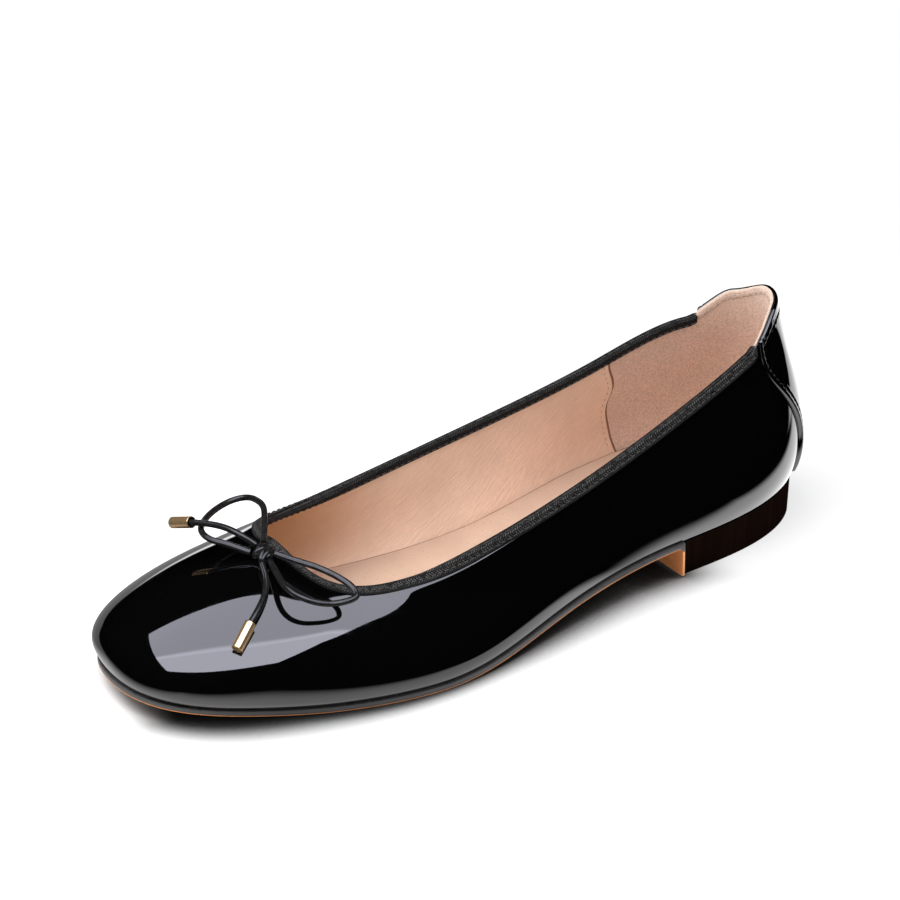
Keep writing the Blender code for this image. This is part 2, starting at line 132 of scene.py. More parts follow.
# A row for each section of the last, from the back seam to the toe tip. around is the share of the
# half turn. The foot columns are the feather line and the top columns the topline: x in percent of
# LENGTH, left and right in percent of BALL_WIDTH from the middle, rise in percent of BACK_HEIGHT.
# The last four shape the wall between them, in millimetres.
Section = namedtuple(
    "Section",
    "around foot_x foot_left foot_right top_x top_left top_right rise_left rise_right"
    " swell_out swell_up lean_out lean_down",
)
SECTIONS = [
    Section(0.00, 0.0, 0.0, 0.0, 1.8, 0.0, 0.0, 99.7, 99.7, 8.6, 16.0, 3.0, 18.0),
    Section(0.06, 1.7, 18.8, 17.2, 3.3, 11.9, 11.2, 99.2, 93.6, 8.2, 15.5, 2.3, 18.0),
    Section(0.13, 8.1, 33.1, 28.5, 8.6, 20.6, 20.2, 95.3, 93.4, 5.7, 14.0, 2.0, 16.0),
    Section(0.26, 23.7, 40.0, 30.6, 22.4, 30.4, 27.2, 83.6, 80.5, 4.0, 12.0, 2.0, 14.0),
    Section(0.42, 42.9, 45.6, 25.6, 40.8, 38.1, 31.2, 67.2, 65.6, 4.0, 10.4, 1.1, 13.2),
    Section(0.56, 59.2, 56.2, 36.2, 55.5, 38.8, 34.0, 53.9, 55.9, 5.6, 8.9, 0.5, 12.8),
    Section(0.70, 73.5, 52.5, 43.8, 66.9, 35.6, 32.5, 48.9, 52.3, 9.5, 7.7, 10.9, 10.9),
    Section(0.84, 88.2, 34.4, 42.5, 74.8, 28.8, 23.8, 52.8, 55.9, 12.6, 7.7, 18.4, 9.1),
    Section(0.93, 97.3, 17.5, 30.6, 77.3, 16.2, 10.0, 58.6, 60.5, 12.2, 10.1, 28.0, 7.7),
    Section(1.00, 100.0, -3.8, 3.8, 78.0, 2.9, -2.9, 64.1, 64.1, 6.4, 14.4, 33.8, 5.0),
]

# Where the front lining ends over the heel grip: share of the way up, half turns from the back
LINING_SEAM = [
    (0.00, 0.214),
    (0.20, 0.222),
    (0.35, 0.228),
    (0.55, 0.2335),
    (0.65, 0.231),
    (0.75, 0.234),
    (0.87, 0.242),
    (1.00, 0.246),
]


def number(name, description, default, unit="NONE"):
    """A number property."""
    return FloatProperty(name=name, description=description, default=default, unit=unit)


def millimetres(name, description, default):
    """A length property, with its default in millimetres."""
    return number(name, description, default * MM, "LENGTH")


def degrees(name, description, default):
    """An angle property, with its default in degrees."""
    angle = math.radians(default)
    return FloatProperty(name=name, description=description, default=angle, subtype="ANGLE")


def colour(name, description, default):
    """A colour property, as linear red, green and blue."""
    return FloatVectorProperty(
        name=name, description=description, default=default, subtype="COLOR", size=3, min=0, max=1
    )


class FlatSizes(PropertyGroup):
    """Sizes of the layers, threads and cords."""

    patent: millimetres("Patent thickness", "Outer leather of the upper", 0.95)
    grip: millimetres("Heel grip thickness", "Suede behind the lining seam", 0.5)
    binding: millimetres("Binding thickness", "Folded ribbon on the topline", 0.45)
    binding_depth: millimetres("Binding depth", "How far the ribbon's outer leaf reaches down", 2.9)
    stitch_pitch: millimetres("Stitch pitch", "Distance from one stitch to the next", 2.3)
    thread: millimetres("Thread thickness", "Sewing thread", 0.36)
    cord: millimetres("Bow cord diameter", "Round leather cord of the bow", 2.0)
    edge_inset: millimetres("Stitch inset", "From a sewn edge to its row of stitches", 1.9)


class FlatColours(PropertyGroup):
    """Colours of the finishes."""

    patent: colour("Patent", "Lacquered upper leather", (0.0011, 0.0011, 0.0013))
    ribbon: colour("Ribbon", "Grosgrain binding", (0.013, 0.0125, 0.012))
    lining: colour("Lining", "Smooth nude lining", (0.85, 0.62, 0.48))
    # Warmer and darker than the lining: the darkness is painted shade under the vamp, blended in towards
    # the toe.
    toe_lining_shade: colour("Toe lining", "Warmer lining towards the toe", (0.68, 0.375, 0.175))
    suede: colour("Heel grip", "Brushed nude suede", (0.80, 0.58, 0.465))
    facing: colour("Tab facing", "Strip inside the tab's rim", (0.62, 0.46, 0.365))
    sock: colour("Sock", "Smooth nude sock", (0.52, 0.355, 0.265))
    sole: colour("Sole leather", "Lower edge and lip of the sole", (0.96, 0.32, 0.09))
    under: colour("Underside", "Underside of the sole", (0.10, 0.05, 0.025))
    cut: colour("Cut edge", "Raw edge of the sole leather", (0.92, 0.42, 0.16))
    # Dark grey rather than the paint's near black: the lighter tone is a painted reflection of the
    # floor.
    edge: colour("Sole edge", "Painted edge of the sole", (0.075, 0.072, 0.071))
    heel: colour("Heel", "Stained heel block", (0.0068, 0.0034, 0.0024))
    cord: colour("Cord", "Leather cord of the bow", (0.008, 0.008, 0.0082))
    gold: colour("Gold", "Pale gold tips", (0.86, 0.58, 0.32))
    # The lining's dark cut edge, also used as painted shade on the heel grip and round the sock's edge.
    raw_and_shade: colour("Lining edge", "Cut edge of the lining", (0.25, 0.14, 0.09))
    dark_thread: colour("Dark thread", "Thread on the counter", (0.006, 0.006, 0.0062))
    grey_thread: colour("Grey thread", "Thread on the ribbon", (0.06, 0.057, 0.054))
    pale_thread: colour("Pale thread", "Thread on the lining", (0.42, 0.27, 0.19))


class FlatStage(PropertyGroup):
    """Camera, floor and light."""

    azimuth: degrees("Camera azimuth", "Turn of the camera from the shoe's left towards its toe", 34.96)
    elevation: degrees("Camera elevation", "Height of the camera above the horizon", 28.67)
    distance: number("Camera distance", "From the camera to its target", 1.798, "LENGTH")
    lens: number("Focal length", "In millimetres on a 36 mm sensor", 232.1, "CAMERA")
    floor: colour("Floor", "Pale studio floor", (0.85, 0.85, 0.85))
    floor_half: number("Floor half width", "From the middle to the edge", 4.0, "LENGTH")
    key: number("Key light", "Power of the overhead light", 12.0, "POWER")
    panel: number("Reflected panel", "Brightness of the panel the gloss mirrors", 3.5)


def ease(share):
    """Smooth step from 0 to 1."""
    share = np.clip(share, 0, 1)
    return share * share * (3 - 2 * share)


def rounded(distance, radius):
    """Quarter circle: 0 at an edge, 1 from one radius inwards."""
    left = 1 - np.clip(distance / radius, 0, 1)
    return np.sqrt(1 - left**2)


def bell(distance, width):
    """A soft hump of height 1 about distance 0."""
    return np.exp(-((distance / width) ** 2))


def unit(vectors):
    """Vectors scaled to length 1 along the last axis."""
    return vectors / np.linalg.norm(vectors, axis=-1, keepdims=True)


def cubic_at(knots, values, bend, k, after, span, x):
    """A cubic spline's value at x in the piece k, from the values and bends at its two knots."""
    past = (x - knots[k])[:, None]
    width = span[k][:, None]
    left = width - past
    curved = (bend[k] * left**3 + bend[after] * past**3) / (6 * width)
    low = (values[k] / width - bend[k] * width / 6) * left
    high = (values[after] / width - bend[after] * width / 6) * past
    return curved + low + high


def periodic_spline(knots, values):
    """A closed curve through the values: cubic pieces that share slope and bend at each knot."""
    count = len(knots)
    here = np.arange(count)
    after = (here + 1) % count
    span = np.append(knots[1:], knots[0] + 1) - knots
    before = np.roll(span, 1)
    slope = (values[after] - values) / span[:, None]
    matrix = np.zeros((count, count))
    matrix[here, here] = 2 * (before + span)
    matrix[here, after] = span
    matrix[here, here - 1] = before
    bend = np.linalg.solve(matrix, 6 * (slope - np.roll(slope, 1, axis=0)))

    def at(s):
        s = np.asarray(s, float) % 1
        k = np.searchsorted(knots, s, side="right") - 1
        return cubic_at(knots, values, bend, k, after[k], span, s)

    return at


def natural_spline(knots, values):
    """An open curve through the values, straight at its two ends."""
    count = len(knots)
    inner = np.arange(1, count - 1)
    span = np.diff(knots)
    slope = np.diff(values, axis=0) / span[:, None]
    matrix = np.eye(count)
    matrix[inner, inner - 1] = span[:-1]
    matrix[inner, inner] = 2 * (span[:-1] + span[1:])
    matrix[inner, inner + 1] = span[1:]
    pull = np.zeros_like(values)
    pull[inner] = 6 * np.diff(slope, axis=0)
    bend = np.linalg.solve(matrix, pull)

    def at(x):
        x = np.asarray(x, float)
        k = np.clip(np.searchsorted(knots, x, side="right") - 1, 0, count - 2)
        return cubic_at(knots, values, bend, k, k + 1, span, x)

    return at


def last_curves():
    """Feather line, topline and wall handles as one closed spline round the last."""
    knots = []
    values = []
    for side in (1, -1):
        rows = SECTIONS if side == 1 else SECTIONS[-2:0:-1]
        for row in rows:
            foot_y = row.foot_left if side == 1 else -row.foot_right
            top_y = row.top_left if side == 1 else -row.top_right
            rise = row.rise_left if side == 1 else row.rise_right
            knots.append(row.around / 2 if side == 1 else 1 - row.around / 2)
            plan = [row.foot_x * LENGTH, foot_y * BALL_WIDTH, row.top_x * LENGTH, top_y * BALL_WIDTH]
            handles = [row.swell_out, row.swell_up, row.lean_out, row.lean_down]
            values.append(
                [v / 100 for v in plan] + [rise / 100 * BACK_HEIGHT] + [v * MM for v in handles]
            )
    return periodic_spline(np.array(knots), np.array(values))


LAST = last_curves()


def underside(x):
    """Height of the sole's underside: sloping seat, S-shaped waist, flat ball, toe spring."""
    seat = SEAT_HEIGHT - SEAT_DROP * x / BREAST_X
    front = SEAT_HEIGHT - SEAT_DROP
    waist = front * ease((BALL_START_X - x) / (BALL_START_X - BREAST_X))
    spring = TOE_SPRING * np.clip((x - BALL_END_X) / (LENGTH - BALL_END_X), 0, None) ** 2
    return np.where(x < BREAST_X, seat, waist) + spring


def foot_outline(s, outset=0.0):
    """Plan points of the feather line moved outwards, and the outward direction there."""
    step = LAST(s + STEP)[:, :2] - LAST(s - STEP)[:, :2]
    out = unit(np.stack([-step[:, 1], step[:, 0]], axis=1))
    return LAST(s)[:, :2] + out * outset, out


def skin(s, t):
    """Outer face of the upper at s round the last and t up the wall, one cubic arc a section."""
    s, t = np.broadcast_arrays(np.asarray(s, float), np.asarray(t, float))
    shape = s.shape
    s = s.ravel()
    t = t.ravel()[:, None]
    row = LAST(s)
    half = 2 * np.minimum(s % 1, 1 - s % 1)
    plan, out = foot_outline(s)
    foot = np.column_stack([plan, underside(plan[:, 0]) + SOLE_THICKNESS + CLEARANCE])
    tab = TAB_RISE * ease((TAB_MIDDLE + TAB_SPREAD - half) / (2 * TAB_SPREAD))
    top = np.column_stack([row[:, 2:4], row[:, 4] + tab])
    outward = np.column_stack([out, np.zeros(len(s))])
    upward = np.array([0.0, 0.0, 1.0])
    low = foot + outward * row[:, 5:6] + upward * row[:, 6:7]
    high = top + outward * row[:, 7:8] - upward * row[:, 8:9]
    weights = [(1 - t) ** 3, 3 * t * (1 - t) ** 2, 3 * t**2 * (1 - t), t**3]
    points = sum(w * p for w, p in zip(weights, (foot, low, high, top)))
    return points.reshape(*shape, 3)


def skin_frame(s, t):
    """Outer face, its outward normal and the direction up the wall."""
    round_last = skin(s + STEP, t) - skin(s - STEP, t)
    up_wall = skin(s, t + STEP) - skin(s, t - STEP)
    return skin(s, t), unit(np.cross(up_wall, round_last)), unit(up_wall)


def lifted(s, t, lift, rise=0.0):
    """The outer face moved out along its normal by lift and up the wall by rise."""
    s, t, lift, rise = np.broadcast_arrays(s, t, lift, rise)
    points, normal, up = skin_frame(s, t)
    return points + normal * lift[..., None] + up * rise[..., None]


def share_below_top(s, depth):
    """The t at which the wall lies that far below the topline, measured along the wall.

    s is one row of stations, and depth one value for each station or for all.
    """
    t = np.linspace(1, 0.55, 91)
    rows = skin(s[:, None], t[None, :])
    down = np.zeros((len(s), len(t)))
    down[:, 1:] = np.cumsum(np.linalg.norm(np.diff(rows, axis=1), axis=2), axis=1)
    depth = np.broadcast_to(depth, s.shape)
    k = np.clip((down < depth[:, None]).sum(axis=1), 1, len(t) - 1)
    here = np.arange(len(s))
    share = (depth - down[here, k - 1]) / (down[here, k] - down[here, k - 1])
    return t[k - 1] + share * (t[k] - t[k - 1])


def grid_quads(rows, columns, close_rows, close_columns):
    """Corner indices of a grid's quads, and each corner's own row and column before wrapping."""
    i = np.arange(rows if close_rows else rows - 1)
    j = np.arange(columns if close_columns else columns - 1)
    i, j = np.meshgrid(i, j, indexing="ij")
    row = np.stack([i, i, i + 1, i + 1], axis=-1).reshape(-1, 4)
    column = np.stack([j, j + 1, j + 1, j], axis=-1).reshape(-1, 4)
    return row % rows * columns + column % columns, row, column


def end_strips(rows, columns):
    """Caps of a closed section's two open ends: strips from its first half to its second half."""
    j = np.arange(columns // 2 - 1)
    far = columns - 1
    strip = np.stack([j, j + 1, far - j - 1, far - j], axis=-1)
    return np.concatenate([strip, strip + (rows - 1) * columns])


class Patch:
    """A grid of points with its faces, pattern coordinates and finish numbers."""

    def __init__(self, points, along, across, closed=(False, True), capped=True, finish=None):
        rows, columns = points.shape[:2]
        quads, row, column = grid_quads(rows, columns, *closed)
        self.points = points.reshape(-1, 3)
        self.faces = quads
        self.uv = np.stack([along[row], across[column]], axis=-1)
        self.finish = np.zeros(len(quads), int) if finish is None else finish(row[:, 0], column[:, 0])
        if capped and not closed[0]:
            caps = end_strips(rows, columns)
            self.faces = np.concatenate([quads, caps])
            flat = np.stack([along[caps // columns], across[caps % columns]], axis=-1)
            self.uv = np.concatenate([self.uv, flat])
            start = np.zeros(len(caps), int)
            ends = start if finish is None else finish(caps[:, 0] // columns, caps[:, 0] % columns)
            self.finish = np.concatenate([self.finish, ends])


def make_piece(name, patches, materials, replaced=(), smooth_angle=50):
    """One object from patches: merged at seams and poles, faces out, riding on the shoe's body."""
    starts = np.cumsum([0] + [len(p.points) for p in patches[:-1]])
    points = np.concatenate([p.points for p in patches]) - FOOTPRINT_MIDDLE
    faces = np.concatenate([p.faces + start for p, start in zip(patches, starts)])
    mesh = bpy.data.meshes.new(name)
    mesh.from_pydata(points, [], faces.tolist())
    mesh.uv_layers.new(name="pattern")
    uv = np.concatenate([p.uv.reshape(-1, 2) for p in patches]).astype(np.float32)
    mesh.uv_layers["pattern"].uv.foreach_set("vector", uv.ravel())
    mesh.polygons.foreach_set("material_index", np.concatenate([p.finish for p in patches]))
    work = bmesh.new()
    work.from_mesh(mesh)
    bmesh.ops.remove_doubles(work, verts=work.verts, dist=WELD)
    bmesh.ops.dissolve_degenerate(work, edges=work.edges, dist=WELD)
    bmesh.ops.recalc_face_normals(work, faces=work.faces)
    work.to_mesh(mesh)
    work.free()
    mesh.shade_smooth()
    mesh.set_sharp_from_angle(angle=math.radians(smooth_angle))
    piece = bpy.data.objects.new(name, mesh)
    bpy.context.scene.collection.objects.link(piece)
    for material in materials:
        mesh.materials.append(material)
    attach(piece, BODY)
    if replaced:
        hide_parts(*replaced)
    return piece


def arc_lengths(points):
    """Distance along a row of points, from 0 at the first."""
    return np.append(0, np.cumsum(np.linalg.norm(np.diff(points, axis=0), axis=1)))


def tube(path, up, radius, sides):
    """Rings of points round a path: radius is a function of the angle, counted from up."""
    along = unit(np.gradient(path, axis=0))
    side = unit(np.cross(along, up))
    over = np.cross(side, along)
    angle = np.arange(sides) * math.tau / sides
    out = np.cos(angle)[None, :, None] * over[:, None] + np.sin(angle)[None, :, None] * side[:, None]
    return path[:, None] + out * radius(angle)[..., None]


def stitch_row(places, normals, length, thread):
    """Stitches along a line: each a thread pulled down at both ends, six-sided.

    A stitch's centre line is half a sine wave high, and its section a flattened circle that
    narrows to its ends.
    """
    along = unit(np.gradient(places, axis=0))
    side = unit(np.cross(along, normals))
    share = np.linspace(-1, 1, 6)[None, :, None, None]
    angle = (np.arange(6) * math.tau / 6)[None, None, :, None]
    slim = np.sqrt(1 - 0.75 * share**2) * thread / 2
    height = 0.5 * thread * np.cos(share * math.pi / 2) + slim * np.sin(angle)
    points = (
        places[:, None, None]
        + along[:, None, None] * share * length / 2
        + side[:, None, None] * slim * np.cos(angle)
        + normals[:, None, None] * height
    )
    across = np.arange(7.0)
    return [Patch(p, np.arange(6.0), across) for p in points]


def sewn(sizes, s, t, lift, inside=False, length=0.6, thread=1.0):
    """A row of stitches on the wall along s and t, at an even pitch, that far off its outer face.

    They face out, or in where inside is set. Their length is a share of the pitch, and thread one of
    the thread's thickness.
    """
    points, out, _ = skin_frame(s, t)
    if inside:
        out = -out
    line = points + out * lift
    along = arc_lengths(line)
    at = np.arange(sizes.stitch_pitch / 2, along[-1], sizes.stitch_pitch)
    places, normals = (
        np.stack([np.interp(at, along, rows[:, k]) for k in range(3)], axis=1) for rows in (line, out)
    )
    return stitch_row(places, unit(normals), length * sizes.stitch_pitch, thread * sizes.thread)


class Nodes:
    """Adds nodes to one tree. An input is set to a value, or linked to another node's output."""

    def __init__(self, tree):
        self.tree = tree

    def add(self, kind, inputs=None, **settings):
        node = self.tree.nodes.new(kind)
        for key, value in settings.items():
            setattr(node, key, value)
        for key, value in (inputs or {}).items():
            if isinstance(value, bpy.types.NodeSocket):
                self.tree.links.new(value, node.inputs[key])
            else:
                node.inputs[key].default_value = value
        return node

    def link(self, value, socket):
        self.tree.links.new(value, socket)

    def math(self, operation, first, second=0.0):
        return self.add("ShaderNodeMath", {0: first, 1: second}, operation=operation).outputs[0]

    def plus(self, first, second):
        return self.math("ADD", first, second)

    def minus(self, first, second):
        return self.math("SUBTRACT", first, second)

    def times(self, first, *others):
        """Product of two or more values."""
        for other in others:
            first = self.math("MULTIPLY", first, other)
        return first

    def most(self, first, *others):
        """Largest of two or more values."""
        for other in others:
            first = self.math("MAXIMUM", first, other)
        return first

    def wave(self, value, pitch):
        """Sine wave that repeats at that pitch."""
        return self.math("SINE", self.times(value, math.tau / pitch))

    def parts(self, vector):
        return self.add("ShaderNodeSeparateXYZ", {0: vector}).outputs

    def mix(self, share, first, second):
        """Colour between first and second."""
        return self.add("ShaderNodeMix", {0: share, 6: first, 7: second}, data_type="RGBA").outputs[2]

    def tinted(self, share, rgb, low, high):
        """Colour between two tones of one colour."""
        return self.mix(share, shade(rgb, low), shade(rgb, high))

    def between(self, value, low, high, new_low=0.0, new_high=1.0):
        """Value moved smoothly from one range to another, and held at its ends."""
        inputs = {"Value": value, "From Min": low, "From Max": high}
        inputs.update({"To Min": new_low, "To Max": new_high})
        return self.add("ShaderNodeMapRange", inputs, interpolation_type="SMOOTHSTEP").outputs[0]

    def stretched(self, vector, scale, turn=(0.0, 0.0, 0.0)):
        node = self.add("ShaderNodeMapping", {"Vector": vector, "Scale": scale, "Rotation": turn})
        return node.outputs[0]

    def noise(self, vector, scale, detail=2.0, roughness=0.5):
        inputs = {"Vector": vector, "Scale": scale, "Detail": detail, "Roughness": roughness}
        return self.add("ShaderNodeTexNoise", inputs).outputs["Fac"]


def new_group(name, numbers, outputs):
    """An empty shader group with a vector and some numbers in: its nodes, its inputs, its outputs."""
    group = bpy.data.node_groups.new(name, "ShaderNodeTree")
    group.interface.new_socket("Vector", in_out="INPUT", socket_type="NodeSocketVector")
    for label, default in numbers.items():
        socket = group.interface.new_socket(label, in_out="INPUT", socket_type="NodeSocketFloat")
        socket.default_value = default
    for label in outputs:
        group.interface.new_socket(label, in_out="OUTPUT", socket_type="NodeSocketFloat")
    nodes = Nodes(group)
    return nodes, nodes.add("NodeGroupInput").outputs, nodes.add("NodeGroupOutput").inputs


def mottle_group():
    """Cloudy variation: noise at one size and at a fifth of it. Shade is 0 to 1, Height the same."""
    nodes, start, end = new_group("mottle", {"Size": 0.01}, ["Shade", "Height"])
    scale = nodes.math("DIVIDE", 1.0, start["Size"])
    cloudy = nodes.noise(start["Vector"], scale, 3.0, 0.55)
    fine = nodes.noise(start["Vector"], nodes.times(scale, 5.0))
    nodes.link(nodes.between(cloudy, 0.3, 0.7), end["Shade"])
    nodes.link(nodes.plus(nodes.times(cloudy, 0.75), nodes.times(fine, 0.25)), end["Height"])


def pores_group():
    """Leather grain: cells with soft creases between them, and a pit in some of the cells."""
    nodes, start, end = new_group("pores", {"Size": 0.001}, ["Height", "Pit"])
    scale = nodes.math("DIVIDE", 1.0, start["Size"])
    cell = nodes.add("ShaderNodeTexVoronoi", {"Vector": start["Vector"], "Scale": scale}).outputs
    inputs = {"Vector": start["Vector"], "Scale": nodes.times(scale, 1.3)}
    crease = nodes.add("ShaderNodeTexVoronoi", inputs, feature="DISTANCE_TO_EDGE").outputs
    chance = nodes.add("ShaderNodeSeparateColor", {0: cell["Color"]}).outputs[0]
    pit = nodes.between(cell["Distance"], 0.12, 0.3, 1.0, 0.0)
    pit = nodes.times(pit, nodes.between(chance, 0.7, 0.8))
    nodes.link(nodes.minus(nodes.between(crease["Distance"], 0.0, 0.18), pit), end["Height"])
    nodes.link(pit, end["Pit"])


def specks_group():
    """Fine dust and scuffs: a mask that is 1 on a small share of the surface."""
    nodes, start, end = new_group("specks", {"Size": 0.0006, "Share": 0.05}, ["Mask"])
    scale = nodes.math("DIVIDE", 1.0, start["Size"])
    dots = nodes.noise(start["Vector"], scale, 1.0)
    patches = nodes.noise(start["Vector"], nodes.times(scale, 0.03))
    low = nodes.minus(0.8, start["Share"])
    dotted = nodes.between(dots, low, nodes.plus(low, 0.06))
    nodes.link(nodes.times(dotted, nodes.between(patches, 0.45, 0.65)), end["Mask"])


class Finish:
    """One material: a Principled shader, Object coordinates, the pattern map and shared groups."""

    def __init__(self, name, **constants):
        self.material = bpy.data.materials.new(name)
        self.material.use_nodes = True
        self.nodes = Nodes(self.material.node_tree)
        self.shader = self.material.node_tree.nodes["Principled BSDF"]
        self.place = self.nodes.add("ShaderNodeTexCoord").outputs["Object"]
        for key, value in constants.items():
            label = key.replace("_", " ").title().replace("Ior", "IOR")
            self.shader.inputs[label].default_value = value

    def group(self, name, **inputs):
        node = self.nodes.add("ShaderNodeGroup", node_tree=bpy.data.node_groups[name])
        self.nodes.link(self.place, node.inputs["Vector"])
        for key, value in inputs.items():
            node.inputs[key.title()].default_value = value
        return node.outputs

    def pattern(self):
        """Along and across the piece's own pattern map, in metres, and the map itself."""
        uv = self.nodes.add("ShaderNodeUVMap", uv_map="pattern").outputs[0]
        along, across, _ = self.nodes.parts(uv)
        return along, across, uv

    def made(self, tint, rough, height, depth):
        """The material with its colour, its roughness, and a bump of that height times the depth."""
        inputs = {"Height": height, "Distance": depth, "Strength": 1.0}
        bump = self.nodes.add("ShaderNodeBump", inputs).outputs["Normal"]
        for socket, value in (("Base Color", tint), ("Roughness", rough), ("Normal", bump)):
            self.nodes.link(value, self.shader.inputs[socket])
        return self.material

    def shown(self, shader):
        """The material with another shader in place of the Principled one."""
        end = self.material.node_tree.nodes["Material Output"]
        self.nodes.link(shader.outputs[0], end.inputs["Surface"])
        return self.material


def shade(rgb, factor):
    """A colour made lighter or darker, as four numbers."""
    return tuple(min(1.0, c * factor) for c in rgb) + (1.0,)


def patent_finish(name, rgb):
    """Black lacquer: a mirror coat over black, faint ripple, a little dust."""
    finish = Finish(name, coat_weight=1.0, coat_roughness=0.012, ior=1.5)
    nodes = finish.nodes
    mottle = finish.group("mottle", size=9 * MM)
    dust = finish.group("specks", size=0.5 * MM, share=0.05)["Mask"]
    rough = nodes.between(mottle["Shade"], 0, 1, 0.02, 0.06)
    return finish.made(nodes.tinted(dust, rgb, 1, 5), rough, mottle["Height"], 0.012 * MM)


BRAID_ROW = 1.2 * MM
BRAID_STROKE = 0.9 * MM


def ribbon_finish(name, rgb):
    """Braided ribbon: slanting strokes that turn back at each row, in a herringbone.

    The raised strokes carry a painted highlight in patches, up to nine times the base colour. It fades
    to a quarter at the outer leaf's lower edge and on the inner leaf, which leaves those darker as
    painted shade.
    """
    finish = Finish(name, specular_ior_level=0.12)
    nodes = finish.nodes
    along, across, _ = finish.pattern()
    slant = nodes.plus(along, nodes.math("PINGPONG", across, BRAID_ROW))
    rows = nodes.times(nodes.wave(across, BRAID_ROW), 0.3)
    height = nodes.minus(nodes.wave(slant, BRAID_STROKE), rows)
    mottle = finish.group("mottle", size=1.4 * MM)
    # Painted highlight on the stroke tops, in patches, weaker at the lower edge and on the inner leaf
    painted_highlight = nodes.times(
        nodes.between(height, 0.3, 1.1),
        nodes.between(mottle["Height"], 0.38, 0.56),
        nodes.between(across, 0.5 * MM, 0.9 * MM, 0.25, 1.0),
        nodes.between(across, 4.0 * MM, 5.5 * MM, 1.0, 0.25),
    )
    rough = nodes.between(height, -1.3, 1.3, 0.8, 0.5)
    return finish.made(nodes.tinted(painted_highlight, rgb, 0.5, 9), rough, height, 0.07 * MM)


def lining_finish(name, rgb):
    """Smooth nude leather: fine diagonal draws, small pores and a cloudy tint, warmer and darker to the
    toe, where the darkness is painted shade under the vamp.
    """
    finish = Finish(name, ior=1.45)
    nodes = finish.nodes
    mottle = finish.group("mottle", size=22 * MM)
    pores = finish.group("pores", size=0.7 * MM)
    _, _, uv = finish.pattern()
    turned = nodes.stretched(uv, (1, 1, 1), (0, 0, -0.6))
    draws = nodes.noise(nodes.stretched(turned, (150, 750, 1)), 1.0)
    tint = nodes.tinted(mottle["Shade"], rgb, 0.93, 1.06)
    # Painted shade: warmer, darker lining blended in towards the toe, where the vamp shades the inside.
    toe_shading = nodes.between(nodes.parts(finish.place)[0], 10 * MM, 50 * MM, 0, 0.9)
    tint = nodes.mix(toe_shading, tint, shade(bpy.context.scene.flat_colours.toe_lining_shade, 1))
    tint = nodes.mix(nodes.between(draws, 0.42, 0.6, 0.16, 0.0), tint, shade(rgb, 0.7))
    rough = nodes.between(mottle["Height"], 0.3, 0.7, 0.42, 0.6)
    return finish.made(tint, rough, nodes.plus(draws, nodes.times(pores["Height"], 0.12)), 0.22 * MM)


def suede_finish(name, rgb):
    """Brushed suede: short nap in soft patches, fine fibre speckle, no gloss."""
    finish = Finish(name, specular_ior_level=0.15, sheen_weight=0.35, sheen_roughness=0.6)
    nodes = finish.nodes
    brushed = finish.group("mottle", size=14 * MM)
    nap = nodes.noise(finish.place, 1600, 2.0, 0.8)
    tint = nodes.tinted(brushed["Shade"], rgb, 0.97, 1.03)
    tint = nodes.mix(nodes.between(nap, 0.38, 0.62, 0.6, 0.0), tint, shade(rgb, 0.55))
    return finish.made(tint, nodes.between(nap, 0, 1, 0.85, 1.0), nap, 0.2 * MM)


def sock_finish(name, rgb):
    """Sock leather: pale and even, with open pores here and there."""
    finish = Finish(name, ior=1.45)
    nodes = finish.nodes
    mottle = finish.group("mottle", size=16 * MM)
    pores = finish.group("pores", size=0.9 * MM)
    pit = nodes.times(pores["Pit"], nodes.between(mottle["Height"], 0.42, 0.62), 0.9)
    tint = nodes.mix(pit, nodes.tinted(mottle["Shade"], rgb, 0.94, 1.04), shade(rgb, 0.5))
    rough = nodes.between(mottle["Height"], 0.3, 0.7, 0.5, 0.68)
    return finish.made(tint, rough, pores["Height"], 0.05 * MM)


def dark_edge_and_shade_finish(name, rgb):
    """Cut edge of the lining: dark, with short fibres. The same finish paints shade: a line on the heel
    grip just behind the lining's edge, and the sock's edge.
    """
    finish = Finish(name, specular_ior_level=0.1)
    nodes = finish.nodes
    fibre = nodes.noise(finish.place, 2500)
    rough = nodes.between(fibre, 0, 1, 0.8, 1.0)
    return finish.made(nodes.tinted(fibre, rgb, 0.6, 1.4), rough, fibre, 0.08 * MM)


def sole_finish(name, rgb):
    """Sole leather with a close grain."""
    finish = Finish(name, specular_ior_level=0.15)
    nodes = finish.nodes
    mottle = finish.group("mottle", size=12 * MM)
    pores = finish.group("pores", size=0.6 * MM)
    tint = nodes.mix(pores["Pit"], nodes.tinted(mottle["Shade"], rgb, 0.85, 1.15), shade(rgb, 0.6))
    rough = nodes.between(mottle["Height"], 0.3, 0.7, 0.42, 0.6)
    return finish.made(tint, rough, pores["Height"], 0.05 * MM)


def cut_finish(name, rgb):
    """Raw cut edge: pale, with short fibres."""
    finish = Finish(name)
    nodes = finish.nodes
    fibre = nodes.noise(nodes.stretched(finish.place, (900, 900, 3500)), 1.0)
    rough = nodes.between(fibre, 0, 1, 0.65, 0.9)
    return finish.made(nodes.tinted(fibre, rgb, 0.75, 1.15), rough, fibre, 0.05 * MM)


def edge_finish(name, rgb):
    """Painted sole edge: dark grey, its near-black paint lightened as a painted sheen, with faint
    lengthwise ripple and rubbed specks.
    """
    finish = Finish(name, specular_ior_level=0.5)
    nodes = finish.nodes
    ripple = nodes.noise(nodes.stretched(finish.place, (120, 120, 1500)), 1.0)
    rubbed = finish.group("specks", size=0.7 * MM, share=0.06)["Mask"]
    rough = nodes.between(ripple, 0.3, 0.7, 0.26, 0.42)
    return finish.made(nodes.tinted(rubbed, rgb, 1, 2.5), rough, ripple, 0.06 * MM)


